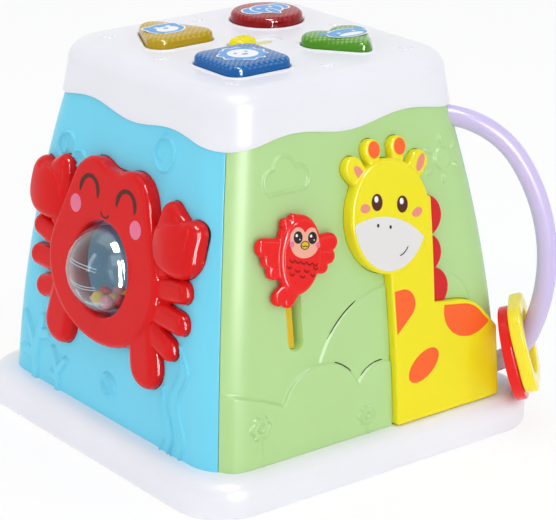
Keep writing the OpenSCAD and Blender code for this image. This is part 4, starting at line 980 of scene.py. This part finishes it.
# For each button an animal, its shift, and patches: x, y, half width, half height, ink, lift, and for some
# the bumps, their depth and a turn. A patch off the middle has a mirrored twin.
STICKERS = {
    "blue": ("lion", (0.0, 0.0), (
        (0, 0, 13.4, 12.6, 1, 0.05, 11, 0.07), (0, 0, 12.4, 11.6, 0, 0.08, 11, 0.07),
        (0, -0.5, 8.4, 7.8, 1, 0.11), (0, -2.6, 1.8, 1.2, 0, 0.14), (3.4, 1.2, 1.0, 1.0, 0, 0.14))),
    "yellow": ("bear", (-2.2, 1.4), (
        (7.4, 1.6, 4.2, 4.2, 1, 0.05), (7.4, 1.6, 3.2, 3.2, 0, 0.08), (0, -3.4, 11.4, 9.4, 1, 0.07),
        (0, -3.4, 10.4, 8.4, 0, 0.1), (0, -5.2, 6.6, 4.8, 1, 0.12), (0, -3.6, 1.7, 1.1, 0, 0.14),
        (3.8, -0.2, 1.3, 1.3, 1, 0.14))),
    "red": ("elephant", (0.0, 0.0), (
        (8.8, 1.0, 6.2, 7.2, 1, 0.05), (8.8, 1.0, 5.2, 6.2, 0, 0.08), (0, 0, 9.6, 9.2, 1, 0.09),
        (0, 0, 8.6, 8.2, 0, 0.11), (0, -6.2, 3.0, 6.2, 1, 0.13), (0, -6.2, 2.2, 5.4, 0, 0.15),
        (4.0, 2.0, 1.2, 1.2, 1, 0.14))),
    "green": ("whale", (2.6, -0.6), (
        (0, 0.5, 13.0, 8.4, 1, 0.05), (0, 0.5, 12.0, 7.4, 0, 0.08), (11.4, 5.4, 4.0, 2.2, 0, 0.07, 0, 0.0, 0.7),
        (0, -3.0, 8.0, 2.6, 1, 0.11), (5.0, 1.6, 1.1, 1.1, 1, 0.12))),
}
for name, sx, sy, _, _ in BUTTONS:
    animal, shift, patches = STICKERS[name]
    sticker = Sticker((sx * BUTTON_AT, sy * BUTTON_AT), shift)
    for x, *rest in patches:
        sticker.blob(x, *rest)
        if x:
            sticker.blob(-x, *rest[:7], *[-turn for turn in rest[7:]])
    sticker.make(animal + "_sticker", [INK_BLUE, INK_WHITE], name + "_button", "clear_" + name)

knob = Build()
KNOB_X = -8.0
rows = ((7.5, 5.5, -0.9), (7.5, 5.5, 1.2), (7.2, 5.2, 2.4), (6.6, 4.6, 3.3), (5.4, 3.4, 3.9), (3.4, 1.6, 4.1))
knob.loft([level(stadium(l, r) + (KNOB_X, 0), TOP_Z + z) for l, r, z in rows], last=True)
for i in (-1, 0, 1):
    knob.loft([level(stadium(r, 0.35 * r / 2.4, 24)[:, ::-1] + (KNOB_X + 2.2 * i, 0), TOP_Z + z)
               for r, z in ((2.6, 3.6), (2.4, 4.35), (1.8, 4.5))], last=True)
knob.make("slide_knob", YELLOW, "switch", "yellow", ("switch_knob",))

# Handle: three arcs in the upright plane through the front right corner
ARCS = ((52, 52), (108, 54), (33, 44.4))
TUBE = 5.5
at, heading = np.array([104.2, 172.7]), -6.0


def ahead(a):
    return np.array([math.cos(math.radians(a)), math.sin(math.radians(a))])


def right_of(a):
    return ahead(a - 90)


def on_diagonal(s, across, z):
    """Points by their distance out along the corner's diagonal, across it and up."""
    q = math.sqrt(0.5)
    return np.stack([q * (s + across), q * (across - s), z], 1)


path = [(at - (9 - 1.5 * i) * ahead(heading), heading) for i in range(6)]
for r, sweep in ARCS:
    middle = at + r * right_of(heading)
    for k in range(30):
        a = heading - sweep * k / 30
        path.append((middle - r * right_of(a), a))
    heading -= sweep
    at = middle - r * right_of(heading)
path += [(at + 1.8 * i * ahead(heading), heading) for i in range(6)]
bow = Build()
a = turns(40)
rings = []
for p, head in path:
    side = np.outer(np.cos(a), right_of(head)) * TUBE
    rings.append(on_diagonal(p[0] + side[:, 0], TUBE * np.sin(a), p[1] + side[:, 1]))
bow.loft(rings[::-1])
bow.make("bow_handle", LAVENDER, "housing", "lavender", ("handle",))

# Loose rings
RING_TILT = math.radians(15)
TRAY_REACH = math.sqrt(2) * (TRAY_W - TRAY_R) + TRAY_R
RED_AT = np.array([TRAY_REACH - 6.9, TRAY_H + 21.8])
RING_SHIFT = -6.5
axis2 = np.array([math.cos(RING_TILT), math.sin(RING_TILT)])
up2 = np.array([-axis2[1], axis2[0]])
YELLOW_AT = RED_AT + 6.9 * axis2 + 4.8 * up2
BAND_STEPS, RING_HOLE = 144, 17.5


def band(name, at, outer, half, soft, look, slot, node):
    """A ring with rounded rims. Its outer edge is a radius, or one for each step round."""
    a = turns(BAND_STEPS)
    rows = []
    for wall, end, first, last in ((1, -1, 90, 0), (1, 1, 0, 90), (-1, 1, 90, 0), (-1, -1, 0, 90)):
        for k in np.radians(np.linspace(first, last, 6)):
            r = (outer if wall > 0 else RING_HOLE) - wall * soft * (1 - math.cos(k))
            along = end * (half - soft * (1 - math.sin(k)))
            s, z = (at[i] + r * np.sin(a) * up2[i] + along * axis2[i] for i in (0, 1))
            rows.append(on_diagonal(s, r * np.cos(a) + RING_SHIFT, z))
    rows.append(rows[0])
    ring = Build()
    ring.loft(rows[::-1])
    ring.make(name, look, node, slot, (node,))


soft_square = inset_ring(lambda x, y: rounded(x, y, 9.5, 15), 0, 0, 0.0, BAND_STEPS)
band("red_band", RED_AT, 26.0, 3.0, 1.0, BIRD, "bird_red", "red_ring")
band("yellow_band", YELLOW_AT, np.hypot(*soft_square.T), 3.5, 1.3, RING_YELLOW, "yellow", "yellow_ring")

# Rattle ball and its beads
BALL = on_face(LEFT, 0.0, BALL_Z, BALL_OUT)
lean_ball = float(lean(BALL_Z))
OUT = np.array([-math.cos(lean_ball), 0, math.sin(lean_ball)])
ALONG = np.array([0, -1.0, 0])
RISE = np.cross(OUT, ALONG)


def sphere(b, middle, r, rings=48, steps=96, inward=False):
    th = np.linspace(0, math.pi, rings + 1)[1:-1]
    a = turns(steps)
    around = np.outer(np.cos(a), OUT) + np.outer(np.sin(a), RISE)
    rows = [middle + r * (math.cos(t) * ALONG + math.sin(t) * around) for t in (th if inward else th[::-1])]
    b.loft(rows, first=True, last=True)


BALL_WALL, RIB_R = 1.5, 0.25
shell = Build()
sphere(shell, BALL, BALL_R)
sphere(shell, BALL, BALL_R - BALL_WALL, inward=True)
for turn in np.radians((10, -20, -50, -80)):
    across = -math.sin(turn) * OUT + math.cos(turn) * RISE
    for edge in (-0.8, 0.8):
        rows = []
        for t in np.radians(np.linspace(57, 122, 33)):
            outward = math.cos(t) * ALONG + math.sin(t) * (math.cos(turn) * OUT + math.sin(turn) * RISE)
            centre = BALL + (BALL_R - BALL_WALL - RIB_R) * outward + edge * across
            rows.append([centre + RIB_R * (math.cos(g) * outward + math.sin(g) * across) for g in turns(8)])
        shell.loft(rows, 1, first=True, last=True)
shell.make("ball_shell", [CLEAR, RIB], "ball", "clear", ("ball_front", "ball_back"))

BEAD_R = 3.8
orbit = BALL_R - BALL_WALL - 0.6 - 0.4 - BEAD_R
bead_step = 2 * math.asin(BEAD_R / orbit) + math.radians(1.2)
DOWN, OUTWARD = np.array([0, 0, -1.0]), np.array([-1.0, 0, 0])
BEADS = (("yellow_bead_set", (0, 2, 5), BEAD_GOLD, "yellow", "yellow_beads"),
         ("pink_bead_set", (1, 4), PINK, "pink", "pink_beads"),
         ("red_bead_set", (3, 6), BEAD_RED, "crab_red", "red_beads"))
for name, which, look, slot, node in BEADS:
    beads = Build()
    for i in which:
        a, tilt = math.radians(60 * i), bead_step if i else 0.0
        sideways = math.sin(tilt) * (math.cos(a) * ALONG + math.sin(a) * OUTWARD)
        sphere(beads, BALL + orbit * (math.cos(tilt) * DOWN + sideways), BEAD_R, rings=24, steps=40)
    beads.make(name, look, "beads", slot, (node,))


def stand(obj, place, backward):
    """Puts a camera or lamp at a place, with its back turned to a direction."""
    obj.matrix_world = Matrix.Translation(place) @ backward.to_track_quat("Z", "Y").to_matrix().to_4x4()
    scene.collection.objects.link(obj)


# Camera at the photograph's angle
camera = bpy.data.cameras.new("camera")
camera.lens, camera.sensor_width = 154.19, 36.0
camera.shift_x, camera.shift_y = 0.0418, -0.0451
camera.clip_start, camera.clip_end = 0.05, 20
eye = bpy.data.objects.new("camera", camera)
stand(eye, (-0.7413, -0.9805, 0.5339), Vector((-0.5687, -0.7522, 0.3329)).normalized())
scene.camera = eye


# Pale floor, white surround and soft studio lamps
def white_behind(tree, shader, out, share):
    """White, by a share, to the camera, to shiny faces and through clear ones. The rest is shaded."""
    ray = tree.add("ShaderNodeLightPath").outputs
    seen = tree.maths("MAXIMUM", ray["Is Camera Ray"], ray["Is Glossy Ray"])
    seen = tree.maths("MAXIMUM", seen, ray["Is Transmission Ray"])
    glow = tree.add("ShaderNodeEmission", Color=(1, 1, 1, 1), Strength=1.0)
    tree.shaders(tree.maths("MULTIPLY", seen, share), shader, glow.outputs["Emission"], out)


floor_look, tree, bsdf = material("pale floor")
put(bsdf, Base_Color=(0.98, 0.98, 0.98, 1), Roughness=0.9)
white_behind(tree, bsdf.outputs["BSDF"], tree.nodes["Material Output"].inputs["Surface"], 0.75)
floor_mesh = bpy.data.meshes.new("floor")
floor_mesh.from_pydata([(-4, -4, 0), (4, -4, 0), (4, 4, 0), (-4, 4, 0)], [], [(0, 1, 2, 3)])
floor_mesh.materials.append(floor_look)
floor = bpy.data.objects.new("floor", floor_mesh)
scene.collection.objects.link(floor)
floor.visible_glossy = False

world = bpy.data.worlds.new("studio")
scene.world = world
tree = Tree(world)
surround = put(tree.nodes["Background"], Color=(0.97, 0.98, 1.0, 1), Strength=0.62)
white_behind(tree, surround.outputs["Background"], tree.nodes["World Output"].inputs["Surface"], 1.0)


def lamp(name, place, aim, size, power, shine_only=False):
    light = bpy.data.lights.new(name, "AREA")
    light.shape = "RECTANGLE"
    light.size, light.size_y = size
    light.energy = power
    obj = bpy.data.objects.new(name, light)
    obj.visible_diffuse = not shine_only
    stand(obj, place, Vector(place) - Vector(aim))


lamp("key", (-0.7, -1.8, 1.6), (0, 0, 0.1), (1.2, 1.2), 7.2)
lamp("side_right", (1.2, -1.5, 0.9), (0, 0, 0.1), (0.3, 1.6), 3.4)
lamp("side_left", (-1.9, 0.2, 0.9), (0, 0, 0.1), (0.3, 1.6), 4.5)
lamp("top", (0, 0.2, 2.0), (0, 0, 0.2), (1.6, 1.6), 9.5)
lamp("window_left", (-0.57, -1.94, 0.2), (-0.3, 0, 0.2), (0.24, 2.6), 150, True)
lamp("window_right", (-0.15, -2.0, 0.2), (0.12, 0, 0.2), (0.24, 2.6), 150, True)
lamp("window_top", (-0.18, -0.64, 2.0), (-0.09, 0, 0.1), (0.5, 0.9), 90, True)

scene.view_settings.view_transform = "Standard"
